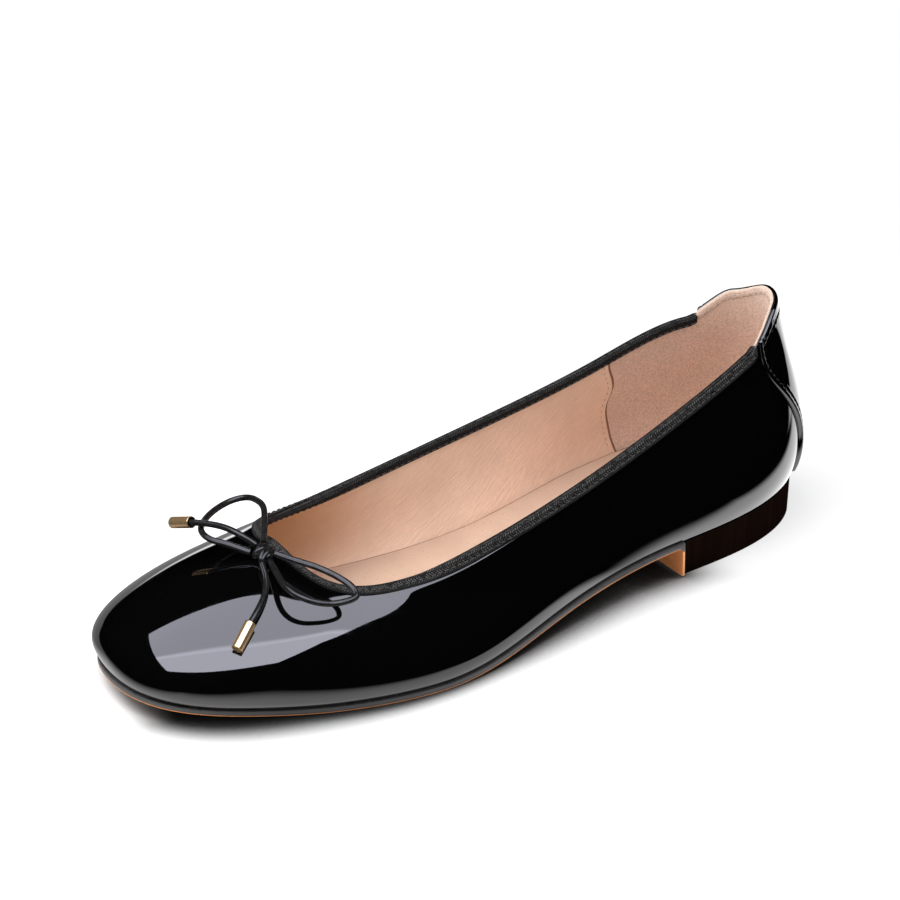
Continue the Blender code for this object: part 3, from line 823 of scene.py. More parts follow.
def heel_finish(name, rgb):
    """Stained heel block: dark brown with upright streaks, and no gloss."""
    finish = Finish(name, specular_ior_level=0.0)
    nodes = finish.nodes
    streak = nodes.noise(nodes.stretched(finish.place, (420, 420, 18)), 1.0, 3.0)
    mottle = finish.group("mottle", size=8 * MM)
    rubbed = finish.group("specks", size=0.6 * MM, share=0.05)["Mask"]
    tint = nodes.tinted(nodes.between(streak, 0.35, 0.7), rgb, 0.85, 1.2)
    rough = nodes.between(mottle["Height"], 0.3, 0.7, 0.36, 0.5)
    return finish.made(nodes.mix(rubbed, tint, shade(rgb, 3)), rough, streak, 0.05 * MM)


def cord_finish(name, rgb):
    """Satin leather cord: fine lengthwise lines and a soft wrinkle."""
    finish = Finish(name, specular_ior_level=0.5)
    nodes = finish.nodes
    _, _, uv = finish.pattern()
    lines = nodes.noise(nodes.stretched(uv, (350, 3200, 1)), 1.0)
    mottle = finish.group("mottle", size=1.5 * MM)
    rough = nodes.between(lines, 0.3, 0.7, 0.15, 0.24)
    height = nodes.plus(lines, nodes.times(mottle["Height"], 0.6))
    return finish.made(nodes.tinted(mottle["Shade"], rgb, 0.8, 1.7), rough, height, 0.05 * MM)


def gold_finish(name, rgb):
    """Pale gold plating: polished, with turning lines round it and a few scuffs."""
    finish = Finish(name, metallic=0.86)
    nodes = finish.nodes
    along, _, _ = finish.pattern()
    rings = nodes.noise(nodes.add("ShaderNodeCombineXYZ", {0: along}).outputs[0], 9000, 1.0)
    scuffs = finish.group("specks", size=0.35 * MM, share=0.1)["Mask"]
    rough = nodes.plus(nodes.between(rings, 0.3, 0.7, 0.1, 0.18), nodes.times(scuffs, 0.2))
    return finish.made(nodes.tinted(scuffs, rgb, 1, 0.8), rough, rings, 0.0004 * MM)


def thread_finish(name, rgb):
    """Twisted thread: slanting plies, a little fuzz in the tint."""
    finish = Finish(name)
    nodes = finish.nodes
    along, across, _ = finish.pattern()
    slant = nodes.plus(nodes.times(along, 2.4), nodes.times(across, math.tau / 6))
    ply = nodes.math("SINE", nodes.times(slant, 2.0))
    fuzz = finish.group("mottle", size=0.4 * MM)
    rough = nodes.between(ply, -1, 1, 0.75, 0.5)
    return finish.made(nodes.tinted(fuzz["Shade"], rgb, 0.7, 1.3), rough, ply, 0.04 * MM)


# For each colour: what makes its finish, and the material's name
FINISHES = {
    "patent": (patent_finish, "patent_leather"),
    "ribbon": (ribbon_finish, "ribbon"),
    "lining": (lining_finish, "lining_leather"),
    "suede": (suede_finish, "heel_grip_suede"),
    "facing": (suede_finish, "tab_facing"),
    "sock": (sock_finish, "sock_leather"),
    "raw_and_shade": (dark_edge_and_shade_finish, "lining_edge"),
    "sole": (sole_finish, "sole_leather"),
    "under": (sole_finish, "sole_underside"),
    "cut": (cut_finish, "cut_edge"),
    "edge": (edge_finish, "sole_edge_paint"),
    "heel": (heel_finish, "heel_stack"),
    "cord": (cord_finish, "bow_cord"),
    "gold": (gold_finish, "pale_gold"),
    "dark_thread": (thread_finish, "dark_thread"),
    "grey_thread": (thread_finish, "grey_thread"),
    "pale_thread": (thread_finish, "pale_thread"),
}
MADE = {}


def finish_of(name):
    """The finish of that colour, made the first time that it is asked for."""
    if name not in MADE:
        make, label = FINISHES[name]
        MADE[name] = make(label, getattr(bpy.context.scene.flat_colours, name))
    return MADE[name]


def shell(outer, inner, along, heights, finish=None):
    """A shell with two ends: rows round the last, columns up the outer face and down the inner one."""
    across = np.concatenate([heights, heights[::-1], heights[:1]])
    return Patch(np.concatenate([outer, inner[:, ::-1]], axis=1), along, across, finish=finish)


# Soft creases of the upper: place in turns from the back and in shares of the way up, lean from the
# upright in degrees, then half length, half width and depth in millimetres. A ridge has a depth below 0.
Crease = namedtuple("Crease", "turn up lean long wide depth")
CREASES = [
    Crease(0.262, 0.62, 24, 9.0, 2.4, 0.016),
    Crease(0.275, 0.55, 30, 8.0, 2.0, -0.012),
    Crease(0.150, 0.58, -20, 9.0, 2.6, 0.030),
    Crease(0.108, 0.45, -14, 8.0, 2.4, 0.028),
    Crease(0.738, 0.60, -26, 9.0, 2.4, 0.032),
    Crease(0.722, 0.53, -32, 8.0, 2.0, -0.022),
    Crease(0.690, 0.50, -40, 8.0, 2.2, 0.028),
    Crease(0.852, 0.55, 18, 9.0, 2.6, 0.030),
]
ROLL = 0.8 * MM  # how far the wall rolls in under the ribbon, between the throat and the waist
ROLL_DEPTHS = (2.75 * MM, 4.65 * MM)  # below the topline, where the roll is whole and where it starts


def crease_lift(s, t):
    """Sum of soft troughs and ridges: each a bell across it times a bell along it."""
    lift = 0.0
    for crease in CREASES:
        lean = math.radians(crease.lean)
        round_last = (s - crease.turn) * GIRTH
        up = (t - crease.up) * WALL_HEIGHT
        along = up * math.cos(lean) + round_last * math.sin(lean)
        across = round_last * math.cos(lean) - up * math.sin(lean)
        lift = lift - crease.depth * MM * bell(along, crease.long * MM) * bell(across, crease.wide * MM)
    return lift


def roll_lift(s, t):
    """The wall rolled in under the ribbon: a parabola of the distance below the topline.

    It grows from the throat to the waist and fades out before the tab.
    """
    rows = skin(s, t)
    steps = np.linalg.norm(np.diff(rows, axis=1), axis=2)
    below = np.zeros(rows.shape[:2])
    below[:, :-1] = np.cumsum(steps[:, ::-1], axis=1)[:, ::-1]
    whole, start = ROLL_DEPTHS
    side = np.minimum(s, 1 - s)
    share = ease((0.355 - side) / 0.085) * ease((side - 0.1) / 0.08)
    return -ROLL * share * np.clip((start - below) / (start - whole), 0, 1) ** 2


def upper_patch(sizes):
    """Patent wall: the last's outer face with its creases, its flesh side one thickness in.

    Both edges are half circles: the lift falls by the thickness as the rise swings out and back.
    """
    s = (np.arange(480) / 480)[:, None]
    t = np.concatenate([np.linspace(0, 0.84, 46), np.linspace(0.84, 1, 33)[1:]])[None, :]
    swing = np.radians([30, 60, 90, 120, 150])[None, :]
    drop = sizes.patent * (1 - np.cos(swing)) / 2
    lift = crease_lift(s, t) + roll_lift(s, t)
    top = lifted(s, 1.0, lift[:, -1:] * (1 + np.cos(swing)) / 2 - drop, sizes.patent / 2 * np.sin(swing))
    foot = lifted(s, 0.0, -drop[:, ::-1], -0.14 * MM * np.sin(swing))
    inside = lifted(s, np.linspace(1, 0, 24)[None, :], -sizes.patent)
    points = np.concatenate([lifted(s, t, lift), top, inside, foot], axis=1)
    along = np.arange(481) / 480 * GIRTH
    across = np.linspace(0, 110 * MM, points.shape[1] + 1)
    return Patch(points, along, across, (True, True))


class FLAT_OT_upper(Operator):
    """Adds the patent vamp and quarters."""

    bl_idname = "flat.upper"
    bl_label = "Upper"

    def execute(self, context):
        patch = upper_patch(context.scene.flat_sizes)
        make_piece("upper_patent", [patch], [finish_of("patent")], ["upper"])
        return {"FINISHED"}


# Soft dents of the counter: place across and up, spread across and up, depth in millimetres
COUNTER_DENTS = [
    (0.80, 0.86, 0.10, 0.06, 0.22),
    (0.66, 0.74, 0.10, 0.09, -0.20),
    (0.86, 0.70, 0.07, 0.05, 0.20),
    (0.45, 0.62, 0.10, 0.14, 0.22),
    (-0.70, 0.80, 0.12, 0.08, 0.22),
    (-0.55, 0.60, 0.12, 0.12, -0.18),
]
BEAD_RISE = 0.9 * MM  # of the counter's leather where it rolls over the tab's rim
BEAD_TUCK = 0.3 * MM  # how far in over the rim it reaches
RIM_STITCH = 3.0 * MM  # from the tab's rim to its row of stitches
EDGE_STEPS = (1e-3, 1e-2)  # for distances to the counter's edges: in turns, in shares of the way up


def counter_reach(t):
    """Half width of the counter in shares of a turn: a strip that flares to the tab's corners."""
    low, high = COUNTER_FLARE
    return (COUNTER_WAIST + (COUNTER_REACH - COUNTER_WAIST) * ease((t - low) / (high - low))) / 2


def counter_grid(v, t):
    """s of the counter at v across and t up, and the distance there to its nearest edge."""
    s = v * counter_reach(t)
    turn, rise = EDGE_STEPS
    round_step = np.linalg.norm(skin(s + turn, t) - skin(s - turn, t), axis=-1) / (2 * turn)
    up_step = np.linalg.norm(skin(s, t) - skin(s, t - rise), axis=-1) / rise
    side = (1 - np.abs(v)) * counter_reach(t) * round_step
    return s, np.minimum(side, (t - COUNTER_FOOT) * up_step)


def rim_fold(s, outside, inside, rise, below):
    """Over the tab's rim: half an ellipse from one lift to the other, then a short leg down inside."""
    edge, normal, up = (a[:, None] for a in skin_frame(s, np.ones_like(s)))
    angle = np.linspace(0, math.pi, 15)[None, 1:, None]
    outside, inside, rise = (np.broadcast_to(a, s.shape)[:, None, None] for a in (outside, inside, rise))
    lift = (outside - inside) / 2 + (outside + inside) / 2 * np.cos(angle)
    fold = edge + normal * lift + up * rise * np.sin(angle)
    return np.concatenate([fold, fold[:, -1:] - up * below], axis=1)


def counter_patch(sizes):
    """Counter: a lift over the last that rounds up at its edge, dips at the stitches and puckers.

    The lift is a quarter circle over 0.9 mm, less a bell at the stitch line, less a slow step
    inside it, plus the listed dents.
    """
    v = np.sin(np.linspace(-1, 1, 181) * math.pi / 2)[:, None]
    t = COUNTER_FOOT + (1 - COUNTER_FOOT) * np.sin(np.linspace(0, 1, 110) * math.pi / 2)[None, :]
    s, inset = counter_grid(v, t)
    lift = COUNTER_LIFT * rounded(inset, 0.9 * MM)
    lift = lift - 0.4 * MM * bell(inset - sizes.edge_inset, 0.4 * MM)
    lift = lift - 0.15 * MM * ease((inset - sizes.edge_inset) / (1.5 * MM))
    pucker = np.cos(math.tau * (t * 57 * MM + np.abs(v) * 20 * MM) / sizes.stitch_pitch)
    lift = lift + 0.05 * MM * pucker * bell(inset - sizes.edge_inset, 1.0 * MM)
    below = (1 - t) * 60 * MM
    inner_part = ease((1 - np.abs(v)) / 0.15)
    lift = lift - 0.35 * MM * bell(below - RIM_STITCH, 0.45 * MM) * inner_part
    pucker = np.cos(math.tau * s * GIRTH / sizes.stitch_pitch)
    lift = lift + 0.07 * MM * pucker * bell(below - RIM_STITCH, 1.1 * MM) * inner_part
    for across, up, wide, tall, depth in COUNTER_DENTS:
        lift = lift - depth * MM * bell(v - across, wide) * bell(t - up, tall)
    outer = lifted(s, t, 0.06 * MM + lift)
    inner = lifted(s, np.broadcast_to(t, s.shape), 0.03 * MM)
    full = rounded(inset[:, -1], 0.9 * MM)
    rise = BEAD_RISE * (0.6 + 0.4 * full)
    rim = rim_fold(s[:, -1], 0.06 * MM + lift[:, -1], BEAD_TUCK, rise, 0.3 * MM)
    under = rim_fold(s[:, -1], 0.03 * MM, 0.1 * MM, 0.3 * BEAD_RISE, 0.25 * MM)
    heights = np.append(t[0] * 57 * MM, 57 * MM + np.linspace(0.3, 4, rim.shape[1]) * MM)
    faces = np.concatenate([outer, rim], axis=1), np.concatenate([inner, under], axis=1)
    return shell(*faces, v[:, 0] * 40 * MM, heights)


def counter_stitches(sizes):
    """Stitches at the inset from the counter's two sides and along the tab's rim."""
    t = np.linspace(0.08, 0.955, 400)
    v = np.ones_like(t)
    for _ in range(4):
        _, inset = counter_grid(v, t)
        side = (1 - v) * counter_reach(t) * GIRTH
        v = 1 - (side + sizes.edge_inset - inset) / (counter_reach(t) * GIRTH)
    rim = np.linspace(-0.8, 0.8, 300) * COUNTER_REACH / 2
    left, right = (
        sewn(sizes, sign * v * counter_reach(t), t, 0.85 * MM, thread=0.8) for sign in (1, -1)
    )
    return left + right + sewn(sizes, rim, share_below_top(rim, RIM_STITCH), 0.9 * MM, thread=0.8)


class FLAT_OT_counter(Operator):
    """Adds the counter with its turned edge and stitches."""

    bl_idname = "flat.counter"
    bl_label = "Counter"

    def execute(self, context):
        sizes = context.scene.flat_sizes
        patch = counter_patch(sizes)
        make_piece("counter_patent", [patch], [finish_of("patent")], ["counter"])
        stitches = counter_stitches(sizes)
        make_piece("counter_stitches", stitches, [finish_of("dark_thread")])
        return {"FINISHED"}


def seam_curve():
    """Half turns from the back at which the lining ends, for a share t of the way up."""
    table = np.array(LINING_SEAM)
    at = natural_spline(table[:, 0], table[:, 1:])
    return lambda t: at(np.ravel(t))[:, 0].reshape(np.shape(t))


SEAM = seam_curve()


def lining_patch(sizes):
    """Front lining: from the seam round the toe to the other seam, a thin edge over the heel grip.

    s runs from the seam to its mirror image. The inner face rounds up from the grip over 0.4 mm,
    and dips softly along its stitches.
    """
    ends = np.linspace(0, 0.02, 22)[:-1]
    p = np.concatenate([ends, np.linspace(0.02, 0.98, 320), 1 - ends[::-1]])[:, None]
    t = np.linspace(0.01, 1.0, 44)[None, :]
    seam = SEAM(t)
    s = seam / 2 + p * (1 - seam)
    inset = np.minimum(p, 1 - p) * (1 - seam) * GIRTH
    low = sizes.patent + sizes.grip
    inner = low + 0.04 * MM + (WALL - low) * rounded(inset, 0.4 * MM)
    inner = inner + 0.2 * MM * bell(inset, 3 * MM) * rounded(inset, 0.4 * MM)
    inner = inner - 0.16 * MM * bell(inset - sizes.edge_inset, 0.3 * MM)
    outer = sizes.patent + FILM + sizes.grip * (1 - ease((inset - 3 * MM) / (2 * MM)))
    faces = lifted(s, t, -outer), lifted(s, t, -inner)
    # The cut edge takes the dark edge finish: a darker raw edge, deepened as painted shade of the step
    # onto the grip.
    cut = inset[:, 0] < 0.3 * MM

    def finish(row, column):
        return np.where(cut[row], 1, 0)

    return shell(*faces, p[:, 0] * GIRTH, t[0] * WALL_HEIGHT, finish)


def grip_patch(sizes):
    """Heel grip: suede round the back, tucked 2.5 mm under the lining at both sides.

    Rows at the two seams lie at set distances past the lining's edge. The finish is 1 on a dark line
    of painted shadow just behind that edge, where the lining's edge would shade the suede.
    """
    t = np.linspace(0.01, 1.0, 60)[None, :]
    tuck = np.array([2.5, 1.2, 0.0, -0.4]) * MM
    q = np.concatenate([np.full(4, -1.0), np.linspace(-1, 1, 101), np.full(4, 1.0)])
    past = np.concatenate([tuck, np.full(101, -0.8 * MM), tuck[::-1]])
    s = q[:, None] * (SEAM(t) / 2 + past[:, None] / GIRTH)
    faces = lifted(s, t, -sizes.patent - FILM), lifted(s, t, -sizes.patent - sizes.grip)

    # Painted shadow: the dark edge finish on the rows just past the lining's edge.
    def finish(row, column):
        from_end = np.minimum(row, len(q) - 2 - row)
        return np.where((from_end == 2) | (from_end == 3), 1, 0)

    return shell(*faces, q * (70 * MM + past), t[0] * 60 * MM, finish)


FACING_DEPTH = 1.8 * MM  # from the tab's rim down to the strip's lower edge
FACING_STITCH = 1.0 * MM  # from the rim to its row of stitches


def facing_patch(sizes):
    """Strip of lining leather inside the tab's rim, from its rounded lower edge up over the rim.

    Over the rim it is an arc about the middle of the patent's edge, which thins towards both ends.
    """
    s = np.linspace(-BINDING_END, BINDING_END, 121)
    edge = FACING_DEPTH - np.linspace(0, 0.5, 7) ** 2 * 2 * MM
    depth = np.concatenate([edge, np.linspace(FACING_DEPTH - 0.7 * MM, 0, 11)])
    t = np.stack([share_below_top(s, d) for d in depth], axis=1)
    inner = sizes.patent + 0.03 * MM + 0.27 * MM * ease(depth / (1.2 * MM))
    inner = inner + 0.42 * MM * rounded(FACING_DEPTH - depth, 0.4 * MM)
    inner = inner - 0.1 * MM * bell(depth - FACING_STITCH, 0.25 * MM)
    outer = np.full_like(t, sizes.patent + FILM)
    swing = np.radians(np.linspace(12, 100, 9))[None, :]
    full = ease((BINDING_END - np.abs(s)) / 0.004)[:, None]
    middle = sizes.patent / 2
    arcs = []
    for radius in (middle + FILM, middle + 0.03 * MM + 0.42 * MM * (0.1 + 0.9 * full)):
        arcs.append(lifted(s[:, None], 1.0, -middle - radius * np.cos(swing), radius * np.sin(swing)))
    faces = [
        np.concatenate([lifted(s[:, None], t, -lift), arc], axis=1)
        for lift, arc in zip((outer, inner[None, :]), arcs)
    ]
    return shell(*faces, s * GIRTH, np.append(-depth, np.linspace(0.1, 1.5, 9) * MM))


def lining_stitches(sizes):
    """Stitches along both lining seams and round the tab's facing."""
    t = np.linspace(0.1, 0.93, 200)
    s = SEAM(t) / 2 + sizes.edge_inset / GIRTH
    left, right = (sewn(sizes, sign * s, t, 1.86 * MM, True) for sign in (1, -1))
    rim = np.linspace(-BINDING_END, BINDING_END, 200)
    low = sizes.patent + 0.6 * sizes.grip + 0.32 * MM
    return left + right + sewn(sizes, rim, share_below_top(rim, FACING_STITCH), low, True)


class FLAT_OT_lining(Operator):
    """Adds the front lining, the suede heel grip, the tab's facing and their stitches."""

    bl_idname = "flat.lining"
    bl_label = "Lining"

    def execute(self, context):
        sizes = context.scene.flat_sizes
        lining = [finish_of("lining"), finish_of("raw_and_shade")]
        make_piece("front_lining", [lining_patch(sizes)], lining)
        grip = [finish_of("suede"), finish_of("raw_and_shade")]
        make_piece("heel_grip", [grip_patch(sizes)], grip)
        make_piece("tab_facing", [facing_patch(sizes)], [finish_of("facing")])
        make_piece("lining_stitches", lining_stitches(sizes), [finish_of("pale_thread")])
        return {"FINISHED"}


BINDING_SEAT = 0.03 * MM  # from the wall to the ribbon
INNER_LEAF = 0.7  # depth of the ribbon's inner leaf, as a share of the outer one's


def binding_face(s, grow, depth, leaves=12, crown=9):
    """One face of the folded ribbon at each s: up the outer leaf, over the edge, down the inner one.

    The leaves stand off the wall by grow, and the fold over the edge is half an ellipse.
    """
    grow = grow[:, None, None]
    faces = []
    for share, lift in ((1, grow), (INNER_LEAF, -WALL - grow)):
        depths = share * depth * np.linspace(1, 0, leaves)
        t = np.stack([share_below_top(s, d) for d in depths], axis=1)
        points, normal, up = skin_frame(s[:, None], t)
        faces.append(points + normal * lift)
    outer, inner = faces
    edge, side, rise = points[:, -1:], normal[:, -1:], up[:, -1:]
    angle = np.linspace(0, math.pi, crown + 2)[None, 1:-1, None]
    middle = edge - side * WALL / 2
    fold = middle + side * (WALL / 2 + grow) * np.cos(angle) + rise * grow * np.sin(angle)
    return np.concatenate([outer, fold, inner[:, ::-1]], axis=1)


def binding_patch(sizes):
    """Ribbon folded over the topline, rounded off at its two ends by the tab."""
    s = np.linspace(BINDING_END, 1 - BINDING_END, 640)
    along = arc_lengths(skin(s, 1.0))
    ends = rounded(np.minimum(along, along[-1] - along), 1.0 * MM)
    outside = binding_face(s, BINDING_SEAT + sizes.binding * (0.35 + 0.65 * ends), sizes.binding_depth)
    inside = binding_face(s, np.full(len(s), BINDING_SEAT), sizes.binding_depth)
    across = arc_lengths(outside[len(s) // 2])
    return shell(outside, inside, along, across)


def binding_stitches(sizes):
    """Stitches half way down the ribbon's outer leaf, and at the same height on its inner one."""
    s = np.linspace(BINDING_END + 0.003, 1 - BINDING_END - 0.003, 900)
    t = share_below_top(s, sizes.binding_depth / 2)
    proud = BINDING_SEAT + sizes.binding
    outer = sewn(sizes, s, t, proud, length=0.7)
    return outer + sewn(sizes, s, t, WALL + proud, True, 0.7)


class FLAT_OT_binding(Operator):
    """Adds the grosgrain ribbon on the topline and its stitches."""

    bl_idname = "flat.binding"
    bl_label = "Topline binding"

    def execute(self, context):
        sizes = context.scene.flat_sizes
        patch = binding_patch(sizes)
        make_piece("binding_ribbon", [patch], [finish_of("ribbon")], ["topline_binding"])
        make_piece("binding_stitches", binding_stitches(sizes), [finish_of("grey_thread")])
        return {"FINISHED"}


def sock_patch():
    """Sock on its board: rows along the foot, each from the left wall to the right and back below.

    The top's outline follows the lining at the sock's height and the underside's the feather line.
    The top is crowned by a quarter of a millimetre and its edge is eased. The finish is 1 on that
    edge: the dark edge finish, as painted shade where the sock meets the wall.
    """
    s = np.linspace(0, 0.5, 200)
    q = np.sin(np.linspace(-1, 1, 41) * math.pi / 2)[None, :, None]

    def spread(left, right):
        return (left[:, None] + right[:, None]) / 2 - (left - right)[:, None] / 2 * q

    sides = []
    for turn in (s, 1 - s):
        t = (SOCK_THICKNESS + CLEARANCE) / (3 * LAST(turn)[:, 6])
        sides.append(lifted(turn, t, -WALL - 0.06 * MM)[:, :2])
    plan = spread(*sides)
    below = spread(foot_outline(s, -SOCK_INSET)[0], foot_outline(1 - s, -SOCK_INSET)[0])
    width = np.linalg.norm(sides[0] - sides[1], axis=-1)[:, None]
    eased = rounded((1 - np.abs(q[..., 0])) * width / 2, 0.8 * MM)
    board = SOLE_THICKNESS + CLEARANCE
    top = underside(plan[..., 0]) + board + SOCK_THICKNESS
    top = top - 0.5 * MM * (1 - eased) + 0.25 * MM * (1 - q[..., 0] ** 2)
    bottom = underside(below[..., 0]) + board + FILM
    upper = np.concatenate([plan, top[..., None]], axis=-1)
    lower = np.concatenate([below, bottom[..., None]], axis=-1)

    last = q.shape[1] - 1

    # Painted shade: the dark edge finish on the outermost columns.
    def finish(row, column):
        return np.where((column < 3) | ((column > last - 4) & (column < last)), 1, 0)

    return shell(upper, lower, s * GIRTH, q[0, :, 0] * 40 * MM, finish)


class FLAT_OT_sock(Operator):
    """Adds the sock inside the shoe."""

    bl_idname = "flat.sock"
    bl_label = "Sock"

    def execute(self, context):
        finishes = [finish_of("sock"), finish_of("raw_and_shade")]
        make_piece("sock", [sock_patch()], finishes, ["insole"])
        return {"FINISHED"}


def station_of(x):
    """The s on the left side of the feather line at each x, between its back and the toe."""
    s = np.linspace(0, 0.5, 2001)
    return np.interp(x, LAST(s)[:, 0], s)


def plate_points(s, rings):
    """Sections of a plate on the last's plan: down the left edge, across, and up the right edge.

    rings holds pairs of an outset and a height function, from the top edge to the floor.
    """
    left = []
    right = []
    for outset, height in rings:
        for turn, side in ((s, left), (1 - s, right)):
            plan, _ = foot_outline(turn, outset)
            side.append(np.column_stack([plan, height(plan[:, 0])]))
    return np.stack(left + right[::-1], axis=1)


TAN_LINE = 0.32 * MM  # height of the bare leather at the sole's lower edge


def sole_patch():
    """Outsole: a thin plate whose back end bends through a fillet down the front of the heel.

    The paint stops above a line of bare leather at the lower edge. The finish is 0 on the paint, 1
    on the tan line and the lip, 2 on the lip's cut edge and 3 underneath.
    """
    back_x = BREAST_X + CLEARANCE
    root_x = back_x + LIP_ROOT
    fillet = root_x + LIP_FILLET * (1 - np.cos(np.radians(np.linspace(0, 90, 8))))
    lip = np.append([back_x, back_x + LIP_THICKNESS], fillet)
    s = np.append(station_of(lip), np.linspace(station_of(lip[-1]), 0.5, 150)[1:])

    def bent(x):
        left = np.clip(1 - (x - root_x) / LIP_FILLET, 0, 1)
        return underside(x) - LIP_FILLET * (1 - np.sqrt(1 - left**2))

    def bottom(x):
        return np.where(x < (back_x + LIP_THICKNESS + root_x) / 2, LIP_CLEAR, bent(x))

    def top(x):
        return underside(x) + SOLE_THICKNESS

    rings = [
        (SOLE_EDGE - 1.2 * MM, top),
        (SOLE_EDGE - 0.25 * MM, top),
        (SOLE_EDGE - 0.07 * MM, lambda x: top(x) - 0.07 * MM),
        (SOLE_EDGE, lambda x: top(x) - 0.25 * MM),
        (SOLE_EDGE + 0.05 * MM, lambda x: top(x) - 0.6 * MM),
        (SOLE_EDGE + 0.05 * MM, lambda x: bent(x) + TAN_LINE + 0.12 * MM),
        (SOLE_EDGE - 0.02 * MM, lambda x: bent(x) + TAN_LINE),
        (SOLE_EDGE, lambda x: bent(x) + TAN_LINE - 0.06 * MM),
        (SOLE_EDGE, lambda x: bottom(x) + 0.16 * MM),
        (SOLE_EDGE - 0.16 * MM, lambda x: bottom(x) + 0.02 * MM),
        (SOLE_EDGE - SOLE_BEVEL, bottom),
    ]
    tan_start = 6
    points = plate_points(s, rings)
    columns = points.shape[1]

    def finish(row, column):
        near_edge = np.minimum(column, columns - 2 - column)
        tan = (near_edge >= tan_start) & (column < columns - 1)
        cut = (row < 1) & (near_edge >= tan_start - 1) & (near_edge < len(rings) - 1)
        under = (near_edge == len(rings) - 1) & (row >= len(lip) - 1)
        return np.select([cut, under, tan], [2, 3, 1], 0)

    across = np.linspace(0, 90 * MM, columns + 1)
    return Patch(points, s * GIRTH, across, finish=finish)


def heel_patch():
    """Heel block: D-shaped, straight sides that taper in by HEEL_TAPER, edges eased."""
    s = np.linspace(0, station_of(BREAST_X), 90)

    def top(x):
        return SEAT_HEIGHT - SEAT_DROP * x / BREAST_X + SOLE_THICKNESS

    def at(height):
        return lambda x: np.full_like(x, height)

    rings = [
        (-1.0 * MM, top),
        (0.0, lambda x: top(x) - 0.05 * MM),
        (-0.02 * MM, lambda x: top(x) - 0.4 * MM),
        (-HEEL_TAPER / 2, lambda x: top(x) / 2),
        (-HEEL_TAPER, at(0.45 * MM)),
        (-HEEL_TAPER - 0.13 * MM, at(0.13 * MM)),
        (-HEEL_TAPER - 0.45 * MM, at(0.0)),
    ]
    points = plate_points(s, rings)
    return Patch(points, s * GIRTH, np.linspace(0, 80 * MM, points.shape[1] + 1))


class FLAT_OT_bottom(Operator):
    """Adds the outsole with its turned-down lip, and the heel block."""

    bl_idname = "flat.bottom"
    bl_label = "Sole and heel"

    def execute(self, context):
        finishes = [finish_of(name) for name in ("edge", "sole", "cut", "under")]
        make_piece("sole", [sole_patch()], finishes, ["outsole"], smooth_angle=38)
        finishes = [finish_of("heel")]
        make_piece("heel", [heel_patch()], finishes, ["heel_block"], smooth_angle=38)
        return {"FINISHED"}


VAMP_UP = np.array([0.2, 0.05, 1.0])  # away from the vamp, near the bow
CORD_STEP = 0.3 * MM  # from one ring of a cord to the next
CORD_IN_TIP = 9.0 * MM  # of each end, inside its metal tip


def cord_path(name, run_on=0.0):
    """A cord's centre line on a smooth curve through its route, run on straight at its end."""
    route = np.array(BOW_ROUTES[name]) * MM
    knots = arc_lengths(route)
    steps = round(knots[-1] / CORD_STEP) + 1
    path = natural_spline(knots, route)(np.linspace(0, knots[-1], steps))
    if run_on:
        tip = np.array(AGLET_TIPS[name.split("_")[-1]]) * MM
        step = np.linspace(0, run_on, round(run_on / CORD_STEP) + 1)[1:, None]
        path = np.concatenate([path, path[-1] + unit(tip - path[-1]) * step])
    return path


def cord_patch(path, diameter):
    """Rolled leather cord: a round section with one shallow groove along its upper side."""

    def radius(angle):
        turned = np.angle(np.exp(1j * (angle - 0.5)))
        return np.broadcast_to(diameter / 2 * (1 - 0.2 * bell(turned, 0.26)), (len(path), len(angle)))

    sides = 28
    around = np.arange(sides + 1) / sides * math.pi * diameter
    return Patch(tube(path, VAMP_UP, radius, sides), arc_lengths(path), around)


# Turns of the knot: shift across in millimetres, slant and size as a share of the knot's
KNOT_TURNS = [(-2.2, 0.5, 0.92), (-0.6, -0.3, 1.04), (0.6, 0.6, 1.1), (2.2, 0.3, 0.92)]


def knot_patches(diameter):
    """Knot: a gathered core and four slanting turns of pulled cord round it.

    A turn's centre line is an ellipse across the foot, sheared along it, and its section a circle.
    """
    turns = []
    u = np.linspace(0, math.tau, 73)[:-1]
    for shift, slant, grow in KNOT_TURNS:
        x = KNOT_RADII[0] * 0.86 * grow * np.cos(u)
        z = KNOT_RADII[2] * 0.72 * grow * np.sin(u)
        path = np.stack([x, shift + slant * x, z], axis=1) * MM
        along = unit(np.roll(path, -1, axis=0) - np.roll(path, 1, axis=0))
        over = unit(path * [1, 0, 1] + 1e-9)
        side = np.cross(along, over)
        angle = np.linspace(0, math.tau, 15)[None, :-1, None]
        out = np.cos(angle) * over[:, None] + np.sin(angle) * side[:, None]
        turns.append((path[:, None] + out * diameter * 0.36, (True, True)))
    u, v = np.meshgrid(np.linspace(0, math.pi, 17), np.linspace(0, math.tau, 33)[:-1], indexing="ij")
    core = np.stack([np.sin(u) * np.cos(v), np.cos(u), np.sin(u) * np.sin(v)], axis=-1)
    turns.append((core * KNOT_RADII * 0.86 * MM, (False, True)))
    pitch = np.array(Matrix.Rotation(KNOT_PITCH, 3, "Y"))
    middle = np.array(KNOT_MIDDLE) * MM
    patches = []
    for points, closed in turns:
        rows, columns = points.shape[:2]
        along = np.arange(rows + 1) / rows * 16 * MM
        around = np.arange(columns + 1) / columns * math.pi * diameter
        patches.append(Patch(points @ pitch.T + middle, along, around, closed, capped=False))
    return patches


